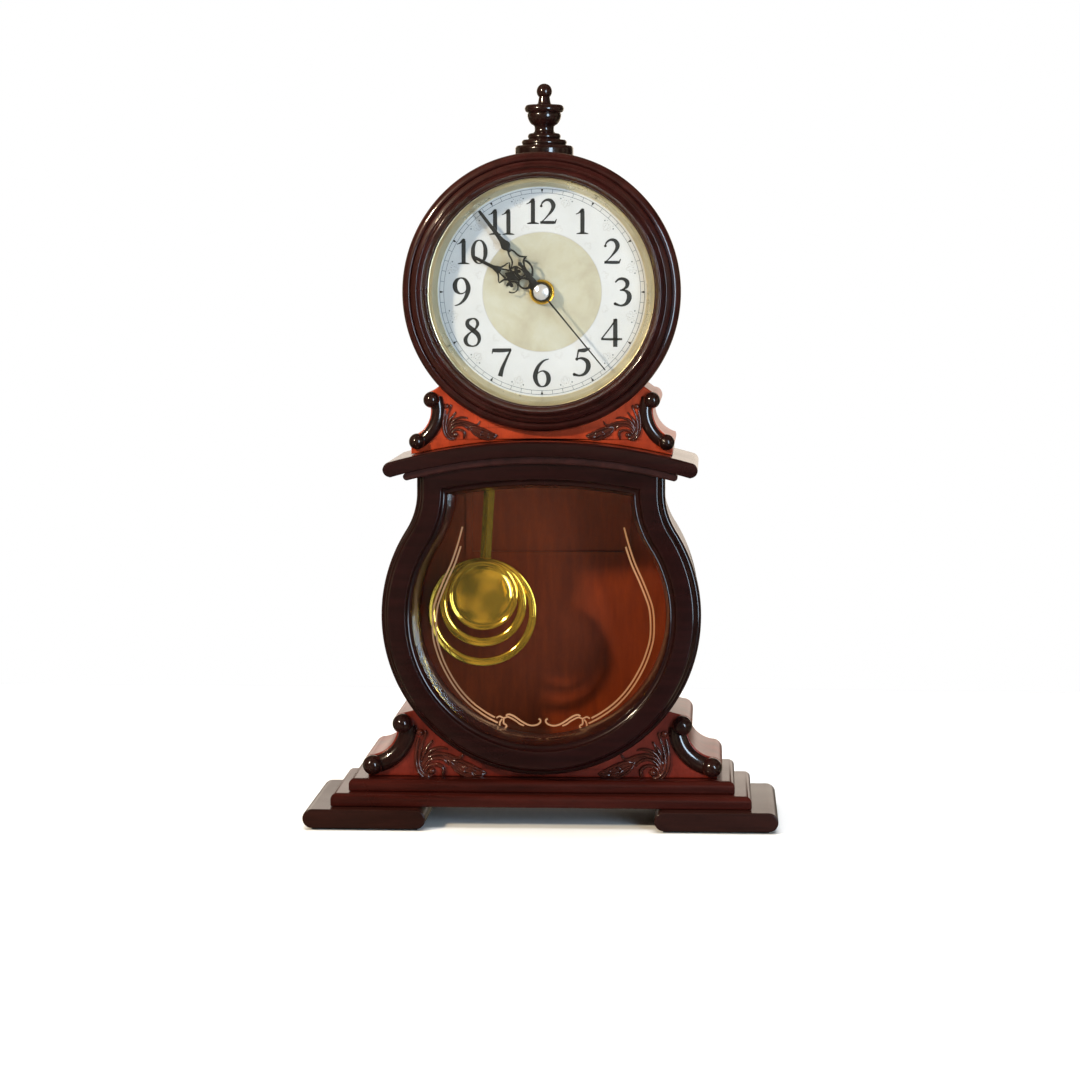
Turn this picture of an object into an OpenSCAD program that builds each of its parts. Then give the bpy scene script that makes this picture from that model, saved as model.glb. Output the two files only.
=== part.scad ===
// Mantel clock: a round head over an arched cornice and a pot-bellied pendulum case.
// Millimetres. The front faces -Y, +Z is up, and the origin is on the floor under
// the middle of the clock.

/* [Base] */
// Length over both feet
base_w = 268; // [260:1:276]
// Depth of the feet
base_d = 105; // [103:1:110]
// Space between the feet
foot_gap = 128.8; // [110:0.4:140]
// Height of a foot above its pad
foot_h = 10.8; // [9:0.2:11]
// Thickness of the felt pads
pad_t = 1.2; // [0.8:0.1:1.6]
// Length of the lower plinth
plinth_w = 238.2; // [232:0.2:244]
// Length of the upper plinth
step_w = 219.2; // [214:0.2:226]

/* [Belly case] */
// Radius of the round belly
belly_r = 90.2; // [89:0.1:91]
// Height of the belly's centre
belly_z = 120.4; // [120:0.1:122]
// Width of the straight neck over the belly
neck_w = 139.6; // [136:0.2:142]
// Radius of the flare between the neck and the belly
flare_r = 40; // [34:1:44]
// Thickness of the case walls
wall = 6; // [5.5:0.5:7]

/* [Cornice] */
// Radius of the arched top
arch_r = 312.7; // [308:0.1:318]
// Height of the arch at the middle
arch_top = 219.5; // [219:0.1:221]
// Thickness of the upper slab
slab_t = 8.4; // [7.5:0.1:8.6]
// Half-length of the upper slab
slab_x = 88; // [86:0.5:92]

/* [Head] */
// Height of the dial's centre
dial_z = 302.5; // [302:0.1:303]
// Outer radius of the bezel
bezel_r = 78.2; // [77.5:0.1:79]
// Radius of the opening in the bezel
opening_r = 63.5; // [63:0.1:64]
// Radius of the visible dial
dial_r = 58; // [57:0.1:60]
// Outer radius of the drum behind the bezel
drum_r = 75.5; // [75:0.1:76]

/* [Hands] */
// Length of the hour hand
hour_len = 43; // [38:0.5:44]
// Length of the minute hand
minute_len = 57; // [50:0.5:57]
// Length of the second hand
second_len = 55; // [48:0.5:56]
// Hour hand, degrees clockwise from twelve
hour_at = -62.8; // [-180:0.1:180]
// Minute hand, degrees clockwise from twelve
minute_at = -37.7; // [-180:0.1:180]
// Second hand, degrees clockwise from twelve
second_at = 140.5; // [-180:0.1:180]

/* [Pendulum] */
// Distance of the pivot from the middle, to the left
pivot_x = -27; // [-30:0.5:-20]
// Height of the pivot
pivot_z = 264; // [262:0.5:266]
// Lean of the pendulum from the plumb line
lean = 3.3; // [0:0.1:6]
// Distance from the pivot to the middle of the outer ring
bob_drop = 145.3; // [140:0.1:146]
// Diameter of the outer ring
ring_d = 62.5; // [60:0.5:64]
// Width of the roof-shaped rod
rod_w = 6.2; // [5:0.1:7]

/* [Rear door] */
// Width of the door
door_w = 92; // [88:1:94]
// Height of the door's lower edge
door_z0 = 148.4; // [146:0.2:152]
// Height of the door's upper edge
door_z1 = 345.6; // [340:0.2:347]

/* [Hidden] */
$fn = 96;

fit = 0.1;      // gap left between curved faces that touch
run = 0.05;     // radial clearance of a running fit
eps = 1;        // how far a cutter reaches past a face

// Front-to-back planes
back_y = 50;
panel_y0 = 45;
panel_y1 = 48;
frame_y0 = -44;
frame_y1 = -30;
bezel_y1 = -28;
notch_y = -14;
notch_x = 52;

// Base
foot_top = pad_t + foot_h;
plinth_h = 7.4;
plinth_z = foot_top;
step_h = 7.2;
step_z = plinth_z + plinth_h;
spandrel_z = step_z + step_h;
step_round = 3.4;

// Belly: the flare's centre lies level with the start of the neck
flare_x = neck_w / 2 + flare_r;
flare_z = belly_z + sqrt(pow(belly_r + flare_r, 2) - pow(flare_x, 2));
case_inset = 2;
rebate_inset = 4;
arch_z = arch_top - arch_r;
lower_slab_r = arch_r - slab_t;
under_r = lower_slab_r - 4.2;
lower_slab_x = 76.8;
window_inset = 19.8;
collar_y1 = -12;
bay_glass_y1 = -9;
window_r = arch_r - 27.1;

// Scroll brackets: [upper ball, lower ball, centre of the cove, bend radius of the tube,
// ball's radius, half the tube's width]
low_scroll = [[79.6, 57.1], [96.7, 33.2], [99, 55.1], 22.2, 5.8, 5.9];
up_scroll = [[62.1, 242], [70.3, 218.4], [78.8, 236], 20.4, 4.6, 4.2];
low_face_y = -22.5;
up_face_y = bezel_y1;

// Head
drum_wall = wall;
glass_y0 = -37.2;
glass_y1 = -35.4;
dial_y0 = -24.5;
dial_y1 = -23.5;
board_y1 = -20.5;

// Movement: shell, arbor and hand radii
shell_w = 56;
shell_y1 = -3.5;
shell_t = 1.2;
split_y = -12;
plate_w = shell_w - 2 * shell_t;
bush_r = 4;
arbor_r = 0.6;
minute_tube_r = 1.6;
hour_tube_r = 2.5;
pivot_r = 0.4;

// Wheels: [teeth, module]. Each pair's centre distance is half its summed pitch diameters.
rotor_teeth = 8;
inter_teeth = 48;
inter_pinion = 10;
second_teeth = 50;
second_pinion = 8;
third_teeth = 64;
third_pinion = 8;
centre_teeth = 60;
cannon_teeth = 16;
minute_teeth = 48;
minute_pinion = 10;
hour_teeth = 40;
rotor_mod = 0.22;
second_mod = 0.24;
third_mod = 0.2;
minute_mod = 0.3;
inter_cd = second_mod * (inter_pinion + second_teeth) / 2;
rotor_cd = rotor_mod * (rotor_teeth + inter_teeth) / 2;
third_cd = third_mod * (second_pinion + third_teeth) / 2;
centre_mod = 2 * third_cd / (third_pinion + centre_teeth);
minute_cd = minute_mod * (cannon_teeth + minute_teeth) / 2;
hour_mod = 2 * minute_cd / (minute_pinion + hour_teeth);
inter_dir = 60;
third_dir = 200;
minute_dir = 340;
inter_at = inter_cd * [cos(inter_dir), sin(inter_dir)];
rotor_at = (inter_cd + rotor_cd) * [cos(inter_dir), sin(inter_dir)];
third_at = third_cd * [cos(third_dir), sin(third_dir)];
minute_axis = minute_cd * [cos(minute_dir), sin(minute_dir)];
wheel_t = 0.8;
hour_level = -18.9;
cannon_level = -16.9;
centre_level = -15.3;
third_level = -12.4;
second_level = -10.4;
inter_level = -8.4;
battery_z = -19.5;
battery_r = 7.1;
battery_len = 50;

// Hands, from front to back
cap_y0 = -35;
second_y0 = -33.7;
minute_y0 = -31.4;
hour_y0 = -29;
hand_t = 0.5;

// Pendulum
rod_y1 = -1.8;
tongue_t = 0.8;
ring_t = 1.4;
ring_y1 = rod_y1 - tongue_t;
axle_r = 0.6;
axle_y0 = -8.5;
mid_ring_d = 50.4;
mid_drop = bob_drop - 5.4;
disc_r = 20;
disc_drop = bob_drop - 9.9;

// Rear door
hinge_x = -door_w / 2 - 0.2;
hinge_y = 49.5;
knuckle_r = 1.5;
pin_r = 0.7;
hinge_h = 24;
leaf_t = 0.8;
leaf_w = 10;
hinge_zs = [170, 300];
knob_x = 38;
knob_z = 247;
catch_z = 262;
catch_h = 14;

// Panel screws: places around the belly and around the head
screw_r = belly_r - 6;
belly_screws = [for (a = [-4, 184, 235, 305]) [screw_r * cos(a), belly_z + screw_r * sin(a)]];
head_screws = [for (a = [40, 140]) [(drum_r - 4) * cos(a), dial_z + (drum_r - 4) * sin(a)]];
screw_places = concat(belly_screws, head_screws);

// ---------- helpers ----------

function arc(c, r, a0, a1, n = 8) =
    [for (i = [0:n]) c + r * [cos(a0 + (a1 - a0) * i / n), sin(a0 + (a1 - a0) * i / n)]];

// Extrudes a front-view outline (X right, Z up) from the plane y0 back to y1.
module board(y0, y1) {
    translate([0, y1, 0])
        rotate([90, 0, 0])
            linear_extrude(y1 - y0)
                children();
}

// Turns a profile of [radius, -y] points about an axis along Y at height z.
module turned(z, x = 0) {
    translate([x, 0, z])
        rotate([90, 0, 0])
            rotate_extrude()
                children();
}

// A round rod along Y.
module rod_y(x, z, r, y0, y1) {
    translate([x, y1, z])
        rotate([90, 0, 0])
            cylinder(r = r, h = y1 - y0);
}

module both_sides() {
    children();
    mirror([1, 0, 0])
        children();
}

// A bar of width w and height h with rounded upper corners, standing at height z.
module rounded_bar(w, h, r, z) {
    translate([-w / 2, z])
        square([w, h - r]);
    translate([-w / 2 + r, z])
        square([w - 2 * r, h]);
    for (s = [-1, 1])
        translate([s * (w / 2 - r), z + h - r])
            circle(r);
}

// The belly with its flare and neck, drawn in by a margin all round.
module belly_shape(inset) {
    r = belly_r - inset;
    f = flare_r + inset;
    contact_z = belly_z + (flare_z - belly_z) * r / (r + f);
    translate([0, belly_z])
        circle(r, $fn = 160);
    difference() {
        translate([-flare_x, contact_z])
            square([2 * flare_x, flare_z - contact_z]);
        for (s = [-1, 1])
            translate([s * flare_x, flare_z])
                circle(f);
    }
    translate([inset - neck_w / 2, flare_z - 0.01])
        square([neck_w - 2 * inset, 40]);
}

// The belly shape, closed above by an arch of radius r under the cornice.
module belly_under(inset, r) {
    intersection() {
        belly_shape(inset);
        translate([0, arch_z])
            circle(r, $fn = 360);
    }
}

// An arched slab between two radii, with half-round ends at half-length x.
module arched_slab(r0, r1, x) {
    end_r = (r1 - r0) / 2;
    end_x = x - end_r;
    end_z = arch_z + (sqrt(r0 * r0 - end_x * end_x) + sqrt(r1 * r1 - end_x * end_x)) / 2;
    intersection() {
        translate([0, arch_z])
            difference() {
                circle(r1, $fn = 360);
                circle(r0, $fn = 360);
            }
        translate([-end_x, arch_z + r0 - 20])
            square([2 * end_x, 40]);
    }
    for (s = [-1, 1])
        translate([s * end_x, end_z])
            circle(end_r);
}

// The shape of a gear: tapered teeth with free play, the first one centred on X.
module gear_shape(teeth, m) {
    pitch = 360 / teeth;
    root = m * (teeth / 2 - 1.1);
    tip = m * (teeth / 2 + 0.75);
    polygon([
        for (i = [0:teeth - 1])
            for (p = [[root, -0.21], [tip, -0.09], [tip, 0.09], [root, 0.21]])
                p[0] * [cos((i + p[1]) * pitch), sin((i + p[1]) * pitch)]
    ]);
}

// A gear of thickness t whose front face is at y, about an axis offset from the dial's centre.
module gear(at, teeth, m, turn, y, t = wheel_t) {
    board(y, y + t)
        translate([at[0], dial_z + at[1]])
            rotate(turn)
                gear_shape(teeth, m);
}

// Turns that put a tooth of one gear into a gap of the next, along the direction d.
function tooth_to(d) = d;
function gap_to(d, teeth) = d + 180 + 180 / teeth;

// ---------- base ----------

module pad_outline() {
    inset = 5;
    translate([foot_gap / 2 + inset, 0])
        square([(base_w - foot_gap) / 2 - 2 * inset, pad_t]);
}

module felt_pads() {
    color([0.12, 0.1, 0.1])
        board(-base_d / 2 + 5, base_d / 2 - 5)
            both_sides()
                pad_outline();
}

module foot_outline() {
    r = foot_h / 2;
    for (x = [foot_gap / 2 + r, base_w / 2 - r])
        translate([x, pad_t + r])
            circle(r);
    translate([foot_gap / 2 + r, pad_t])
        square([(base_w - foot_gap) / 2 - 2 * r, foot_h]);
}

module right_foot() {
    color([0.16, 0.06, 0.05])
        board(-base_d / 2, base_d / 2)
            foot_outline();
}

module left_foot() {
    color([0.16, 0.06, 0.05])
        board(-base_d / 2, base_d / 2)
            mirror([1, 0])
                foot_outline();
}

module lower_plinth() {
    color([0.3, 0.09, 0.08])
        board(-42.5, back_y)
            rounded_bar(plinth_w, plinth_h, step_round, plinth_z);
}

module upper_plinth() {
    color([0.3, 0.09, 0.08])
        board(-34, back_y)
            rounded_bar(step_w, step_h, step_round, step_z);
}

// One side of a spandrel: its cove and the two round noses that the scroll's balls cover.
module spandrel_side(s, foot_x, foot_z, top) {
    difference() {
        polygon([
            [0, foot_z], [foot_x, foot_z], [foot_x, s[1][1]], s[2],
            [s[0][0], s[0][1] - 1], [s[0][0], s[0][1] + s[4]], top,
            [top[0] - 7, top[1] + 3], [0, top[1] + 3]
        ]);
        translate(s[2])
            circle(s[3] - s[5]);
    }
    for (p = [s[0], s[1]])
        translate(p)
            circle(s[4]);
}

module lower_spandrel() {
    color([0.4, 0.1, 0.07])
        difference() {
            board(low_face_y, back_y)
                both_sides()
                    spandrel_side(low_scroll, 99.6, spandrel_z, [72.4, 64.8]);
            board(low_face_y - eps, back_y + eps)
                translate([0, belly_z])
                    circle(belly_r - case_inset + fit, $fn = 160);
        }
}

// ---------- belly case ----------

module belly_case() {
    color([0.25, 0.09, 0.08])
        difference() {
            board(frame_y1, back_y)
                belly_under(case_inset, under_r - fit);
            board(frame_y1 - eps, back_y + eps)
                belly_shape(case_inset + wall);
            board(panel_y0, back_y + eps)
                belly_shape(rebate_inset);
            for (p = belly_screws)
                rod_y(p[0], p[1], 1.25, panel_y0 - 9, panel_y0 + eps);
        }
}

// The front frame: an outer lip, a raised flat, a stepped slope and a collar back to the glass.
module front_frame() {
    color([0.17, 0.07, 0.09])
        difference() {
            union() {
                board(-38, frame_y1)
                    belly_under(0, under_r - fit);
                board(-40, -38)
                    belly_under(1.2, under_r - fit);
                board(frame_y0, -40)
                    belly_under(4.7, under_r - fit);
                board(frame_y1 - eps, collar_y1)
                    belly_under(16.5, window_r + 3.3);
            }
            for (s = [[14, frame_y0 - eps, -41], [17.4, -42, -37], [window_inset, -38, collar_y1 + eps]])
                board(s[1], s[2])
                    belly_under(s[0], window_r + window_inset - s[0]);
        }
}

module front_glass() {
    color([0.8, 0.85, 0.85, 0.35])
        board(collar_y1, bay_glass_y1)
            belly_under(16.6, window_r + 3.2);
}

// ---------- cornice and neck ----------

// The well through the neck that the pendulum hangs in, open to the back.
module well(z0, z1) {
    translate([-notch_x, notch_y, z0])
        cube([2 * notch_x, back_y - notch_y + eps, z1 - z0]);
}

module cornice_upper() {
    color([0.2, 0.09, 0.1])
        difference() {
            board(-50, back_y)
                arched_slab(lower_slab_r, arch_r, slab_x);
            well(180, 230);
        }
}

module cornice_lower() {
    color([0.26, 0.08, 0.09])
        difference() {
            board(-47, back_y)
                arched_slab(under_r, lower_slab_r, lower_slab_x);
            well(180, 230);
        }
}

module upper_spandrel() {
    color([0.62, 0.2, 0.09])
        difference() {
            board(up_face_y, back_y)
                both_sides()
                    spandrel_side(up_scroll, 73.8, 190, [57.3, 250]);
            board(up_face_y - eps, back_y + eps)
                translate([0, dial_z])
                    circle(drum_r + fit, $fn = 160);
            board(up_face_y - eps, back_y + eps)
                translate([0, arch_z])
                    circle(arch_r, $fn = 360);
            well(180, 260);
        }
}

// ---------- head ----------

module head_drum() {
    color([0.2, 0.08, 0.08])
        difference() {
            turned(dial_z)
                difference() {
                    translate([drum_r - drum_wall, -back_y])
                        square([drum_wall, back_y - bezel_y1]);
                    translate([0, -back_y - eps])
                        square([drum_r - 2, back_y - panel_y0 + eps]);
                }
            well(180, dial_z - 45);
            for (p = head_screws)
                rod_y(p[0], p[1], 1.25, panel_y0 - 9, panel_y0 + eps);
        }
}

// The bezel's moulding runs in from a round outer edge over two beads to the opening.
module bezel() {
    color([0.24, 0.1, 0.1])
        turned(dial_z)
            polygon(concat(
                [[66.5, 28], [bezel_r, 28]],
                arc([bezel_r - 4.6, 31.4], 4.6, 0, 90),
                [[bezel_r - 5.2, 37.2]],
                arc([bezel_r - 6.6, 38.4], 1.8, 0, 120, 5),
                arc([bezel_r - 9.2, 41.8], 2.2, 60, 150, 5),
                [[opening_r + 2.2, 40.6], [opening_r, 39]],
                [[opening_r, -glass_y0], [66.5, -glass_y0]]
            ));
}

module dial_glass() {
    color([0.85, 0.9, 0.9, 0.3])
        turned(dial_z)
            translate([0, -glass_y1])
                square([66.2, glass_y1 - glass_y0]);
}

module dial_rim() {
    color([0.85, 0.75, 0.5])
        turned(dial_z)
            polygon([
                [66.2, -bezel_y1], [66.2, -glass_y1], [opening_r, -glass_y1],
                [dial_r + 0.6, -dial_y0 + 1], [dial_r + 0.6, -dial_y0], [62, -dial_y0],
                [64.4, -bezel_y1]
            ]);
}

module dial_plate() {
    color([0.9, 0.9, 0.86])
        turned(dial_z)
            translate([bush_r + run, -dial_y1])
                square([62 - bush_r, dial_y1 - dial_y0]);
}

module dial_board() {
    color([0.45, 0.36, 0.28])
        turned(dial_z)
            translate([bush_r + run, -board_y1])
                square([drum_r - drum_wall - fit - bush_r - run, board_y1 - dial_y1]);
}

// The finial: three base rings, a neck, a cup and a ball, saddled onto the drum.
module finial() {
    color([0.14, 0.07, 0.07])
        difference() {
            rotate_extrude()
                polygon(concat(
                    [[0, dial_z + drum_r - 4], [17, dial_z + drum_r - 4], [17, 382.8]],
                    arc([15.1, 382.8], 1.9, 0, 90, 5),
                    [[12.9, 384.7]],
                    arc([11.2, 386.5], 1.8, -20, 90, 5),
                    [[9.1, 388.6]],
                    arc([7.8, 390.1], 1.6, -40, 80, 5),
                    [[5.5, 392], [5.3, 394.4], [5.9, 396.6], [7.4, 397.2]],
                    [[8.6, 400.4], [9.3, 404], [11, 404.4]],
                    arc([9.7, 406.2], 1.5, -50, 90, 5),
                    [[5.2, 408.3], [3.4, 409.4], [2.9, 411.4]],
                    arc([0, 415.4], 4.6, -45, 90, 12)
                ));
            rod_y(0, dial_z, drum_r + fit, -90, 90);
        }
}

// ---------- scrolls and carvings ----------

// The front part of a round section of radius r, whose middle stands just before the face.
module front_part(r) {
    intersection() {
        translate([0, 0.5])
            circle(r);
        translate([-r, 0])
            square([2 * r, r + 0.5]);
    }
}

// A scroll on the right: a curved tube between two balls, on the spandrel's face.
module scroll(s, face_y, a0, a1) {
    translate([0, face_y, 0])
        rotate([90, 0, 0])
            union() {
                translate(s[2])
                    rotate_extrude(angle = a1 - a0, start = a0)
                        translate([s[3], 0])
                            front_part(s[5]);
                for (p = [s[0], s[1]])
                    translate(p)
                        rotate_extrude()
                            intersection() {
                                front_part(s[4]);
                                square([s[4], 2 * s[4]]);
                            }
            }
}

module right_lower_scroll() {
    color([0.1, 0.05, 0.05])
        scroll(low_scroll, low_face_y, 184, 256);
}

module left_lower_scroll() {
    color([0.1, 0.05, 0.05])
        mirror([1, 0, 0])
            scroll(low_scroll, low_face_y, 184, 256);
}

module right_upper_scroll() {
    color([0.1, 0.05, 0.05])
        scroll(up_scroll, up_face_y, 166, 238);
}

module left_upper_scroll() {
    color([0.1, 0.05, 0.05])
        mirror([1, 0, 0])
            scroll(up_scroll, up_face_y, 166, 238);
}

// An acanthus carving on the right, in the lower carvings' size, about its root.
module leaf_outline() {
    for (f = [[[0, 0], [3.2, 16], 1.8, 1.5], [[0, -4], [-5, -6], 2.4, 2.6],
              [[-1, 0], [-9, 7.5], 2.6, 1.2], [[-2, -1], [-18, 4], 2.6, 1.2],
              [[-4, -1.5], [-14, -3], 2.4, 1.6], [[-20, -4], [-35, -6], 3.2, 0.9]])
        hull() {
            translate(f[0])
                circle(f[2], $fn = 24);
            translate(f[1])
                circle(f[3], $fn = 24);
        }
    translate([-12, -3.6])
        square([8, 1.2]);
    translate([-21, -5])
        square([10, 2.2]);
}

module leaf_pair(root, size, face_y) {
    color([0.16, 0.06, 0.06])
        for (s = [0, 1])
            mirror([s, 0, 0])
                translate([root[0], 0, root[1]])
                    board(face_y - 4 * size, face_y)
                        scale(size)
                            leaf_outline();
}

module lower_leaf_carvings() {
    leaf_pair([66, 35.6], 1, low_face_y);
}

module upper_leaf_carvings() {
    leaf_pair([50.4, 226], 0.74, up_face_y);
}

// ---------- back ----------

module panel_outline(gap) {
    belly_under(rebate_inset + gap, under_r - fit - gap);
    translate([-notch_x + gap, belly_z])
        square([2 * (notch_x - gap), dial_z - belly_z]);
    translate([0, dial_z])
        circle(drum_r - 2 - gap, $fn = 160);
}

// The door's outline, grown by d all round.
module door_outline(d) {
    translate([-door_w / 2 - d, door_z0 - d])
        square([door_w + 2 * d, door_z1 - door_z0 + 2 * d]);
}

// The board, its opening, and a stop inside that the door closes onto. The stop is cut for the catch.
module back_panel() {
    gap = 0.4;
    stop_t = 1.6;
    color([0.42, 0.3, 0.2])
        difference() {
            union() {
                board(panel_y0, panel_y1)
                    difference() {
                        panel_outline(0.2);
                        door_outline(gap);
                    }
                board(panel_y0 - stop_t, panel_y0)
                    difference() {
                        door_outline(gap + 2);
                        door_outline(-1.4);
                        translate([door_w / 2 - 3, catch_z - 0.4])
                            square([8, catch_h + 0.8]);
                    }
            }
            for (p = screw_places)
                rod_y(p[0], p[1], 1.3, panel_y0 - eps, panel_y1 + eps);
        }
}

module panel_screws() {
    color([0.75, 0.65, 0.35])
        for (p = screw_places)
            difference() {
                turned(p[1], p[0])
                    polygon(concat(
                        [[0, -panel_y1 + 11], [0.9, -panel_y1 + 10], [1.2, -panel_y1 + 9]],
                        [[1.2, -panel_y1], [1.9, -panel_y1], [1.9, -panel_y1 - 0.5]],
                        [[1.2, -panel_y1 - 1.2], [0, -panel_y1 - 1.3]]
                    ));
                translate([p[0] - 1.1, panel_y1 + 0.7, p[1] - 0.2])
                    cube([2.2, 1, 0.4]);
                translate([p[0] - 0.2, panel_y1 + 0.7, p[1] - 1.1])
                    cube([0.4, 1, 2.2]);
            }
}

// A hinge leaf on one side of the pin, with the knuckles given as [z, height] pairs.
module hinge_leaf(side, z0, knuckles) {
    x = side > 0 ? hinge_x + 2.2 : hinge_x - 2.2 - leaf_w;
    difference() {
        union() {
            translate([x, panel_y1, z0])
                cube([leaf_w, leaf_t, hinge_h]);
            for (k = knuckles) {
                translate([hinge_x, hinge_y, z0 + k[0]])
                    cylinder(r = knuckle_r, h = k[1]);
                translate([side > 0 ? hinge_x : hinge_x - 2.3, panel_y1, z0 + k[0]])
                    cube([2.3, leaf_t, k[1]]);
            }
        }
        translate([hinge_x, hinge_y, z0 - eps])
            cylinder(r = pin_r + run, h = hinge_h + 2 * eps);
        for (z = [5, hinge_h - 5])
            rod_y(x + leaf_w / 2, z0 + z, 1.1, panel_y1 - eps, panel_y1 + leaf_t + eps);
    }
}

module case_hinge_leaves() {
    color([0.75, 0.65, 0.35])
        for (z = hinge_zs)
            hinge_leaf(-1, z, [[0, 7.9], [16.1, 7.9]]);
}

module door_hinge_leaves() {
    color([0.75, 0.65, 0.35])
        for (z = hinge_zs)
            hinge_leaf(1, z, [[8.1, 7.8]]);
}

module hinge_pins() {
    color([0.7, 0.7, 0.7])
        for (z = hinge_zs) {
            translate([hinge_x, hinge_y, z])
                cylinder(r = pin_r, h = hinge_h + 0.4);
            translate([hinge_x, hinge_y, z + hinge_h])
                cylinder(r = knuckle_r - 0.2, h = 0.8);
        }
}

module rear_door() {
    color([0.42, 0.3, 0.2])
        difference() {
            board(panel_y0 + 0.1, panel_y1)
                door_outline(0);
            rod_y(knob_x, knob_z, 1.25, panel_y0 - eps, panel_y1 + eps);
        }
}

module door_knob() {
    color([0.75, 0.65, 0.35])
        turned(knob_z, knob_x)
            polygon(concat(
                [[0, -panel_y0], [1.2, -panel_y0], [1.2, -panel_y1], [3, -panel_y1]],
                [[2.2, -panel_y1 - 1.2], [4.4, -panel_y1 - 2.4]],
                arc([3.4, -panel_y1 - 3.2], 1.1, 0, -80, 5),
                [[0, -panel_y1 - 4.5]]
            ));
}

module catch_magnet() {
    color([0.25, 0.25, 0.27])
        union() {
            translate([door_w / 2 + 0.8, panel_y0 - 8, catch_z])
                cube([9, 8, catch_h]);
            translate([door_w / 2 - 4, panel_y0 - 8, catch_z])
                cube([5, 7.2, catch_h]);
        }
}

// ---------- quartz movement ----------

module shell_outline(inset) {
    w = shell_w - 2 * inset;
    r = 4 - inset;
    translate([-w / 2 + r, dial_z - w / 2])
        square([w - 2 * r, w]);
    translate([-w / 2, dial_z - w / 2 + r])
        square([w, w - 2 * r]);
    for (sx = [-1, 1])
        for (sz = [-1, 1])
            translate([sx * (w / 2 - r), dial_z + sz * (w / 2 - r)])
                circle(r);
}

module movement_front() {
    color([0.1, 0.1, 0.11])
        difference() {
            union() {
                difference() {
                    board(board_y1, split_y)
                        shell_outline(0);
                    board(board_y1 + shell_t, split_y + eps)
                        shell_outline(shell_t);
                }
                rod_y(0, dial_z, bush_r, -27.8, board_y1 + 0.5);
                rod_y(minute_axis[0], dial_z + minute_axis[1], 1.2, board_y1 + 1, -19.1);
            }
            rod_y(0, dial_z, hour_tube_r + run, -40, split_y);
            rod_y(minute_axis[0], dial_z + minute_axis[1], pivot_r + run, -20, -19);
        }
}

module movement_back() {
    color([0.1, 0.1, 0.11])
        difference() {
            union() {
                difference() {
                    board(split_y, shell_y1)
                        shell_outline(0);
                    board(split_y - eps, shell_y1 - shell_t)
                        shell_outline(shell_t);
                }
                for (p = [[0, 0], inter_at, rotor_at, third_at])
                    rod_y(p[0], dial_z + p[1], 1.4, -6.5, shell_y1 - 0.5);
            }
            for (p = [[0, 0], inter_at, rotor_at, third_at])
                rod_y(p[0], dial_z + p[1], pivot_r + run, -7, -4.6);
            rod_y(minute_axis[0], dial_z + minute_axis[1], 1.3, -7, 0);
        }
}

module train_plate() {
    y0 = -13.9;
    y1 = -13.1;
    color([0.85, 0.85, 0.8])
        difference() {
            board(y0, y1)
                translate([-plate_w / 2, dial_z - 11.4])
                    square([plate_w, 27]);
            for (p = [inter_at, rotor_at, third_at])
                rod_y(p[0], dial_z + p[1], pivot_r + run, y0 - eps, y1 + eps);
            rod_y(0, dial_z, arbor_r + run, y0 - eps, y1 + eps);
            rod_y(minute_axis[0], dial_z + minute_axis[1], 1.4, y0 - eps, y1 + eps);
        }
}

module mounting_nut() {
    color([0.8, 0.65, 0.3])
        difference() {
            union() {
                rod_y(0, dial_z, 7, dial_y0 - 0.8, dial_y0);
                translate([0, dial_y0 - 0.8, dial_z])
                    rotate([90, 0, 0])
                        cylinder(r = 6.2, h = 2.2, $fn = 6);
            }
            rod_y(0, dial_z, bush_r + 0.02, dial_y0 - 5, dial_y0 + eps);
        }
}

// The coil lies along X over the rotor, between the stator's two arms.
module drive_coil() {
    color([0.75, 0.4, 0.2])
        translate([-10.9, -11.5, dial_z + 20])
            rotate([0, 90, 0])
                difference() {
                    cylinder(r = 3.6, h = 23.8);
                    translate([0, 0, -eps])
                        cylinder(r = 1.6, h = 23.8 + 2 * eps);
                }
}

module stator() {
    color([0.6, 0.6, 0.62])
        difference() {
            union() {
                board(-12.4, -11.6)
                    translate([0, dial_z]) {
                        translate([-15, 8.2])
                            square([32, 7.2]);
                        for (x = [-15, 13])
                            translate([x, 15])
                                square([4, 8]);
                    }
                translate([-15, -12, dial_z + 20])
                    rotate([0, 90, 0])
                        translate([0, 0.5, 0])
                            cylinder(r = 1.4, h = 32);
            }
            rod_y(rotor_at[0], dial_z + rotor_at[1], 3, -14, -10);
        }
}

// The circuit board with its chip, and the two sprung contacts of the battery.
module circuit_and_contacts() {
    color([0.1, 0.4, 0.2]) {
        translate([-25, -6.4, dial_z + 8])
            cube([21, 0.8, 12]);
        translate([-16, -7.6, dial_z + 11])
            cube([5, 1.2, 5]);
        for (x = [-battery_len / 2, battery_len / 2 - 0.6])
            translate([x, split_y - 3.5, dial_z + battery_z - 4])
                cube([0.5, 7, 8]);
    }
}

module battery() {
    color([0.75, 0.55, 0.2])
        translate([-battery_len / 2 + 0.6, split_y, dial_z + battery_z])
            rotate([0, 90, 0])
                union() {
                    cylinder(r = battery_r, h = battery_len - 2.2);
                    cylinder(r = 2.7, h = battery_len - 1.2);
                }
}

module rotor() {
    color([0.3, 0.3, 0.32])
        union() {
            rod_y(rotor_at[0], dial_z + rotor_at[1], 2.6, -12.8, -10.6);
            rod_y(rotor_at[0], dial_z + rotor_at[1], pivot_r, -13.8, -4.8);
            gear(rotor_at, rotor_teeth, rotor_mod, gap_to(inter_dir, rotor_teeth), inter_level);
        }
}

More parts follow.
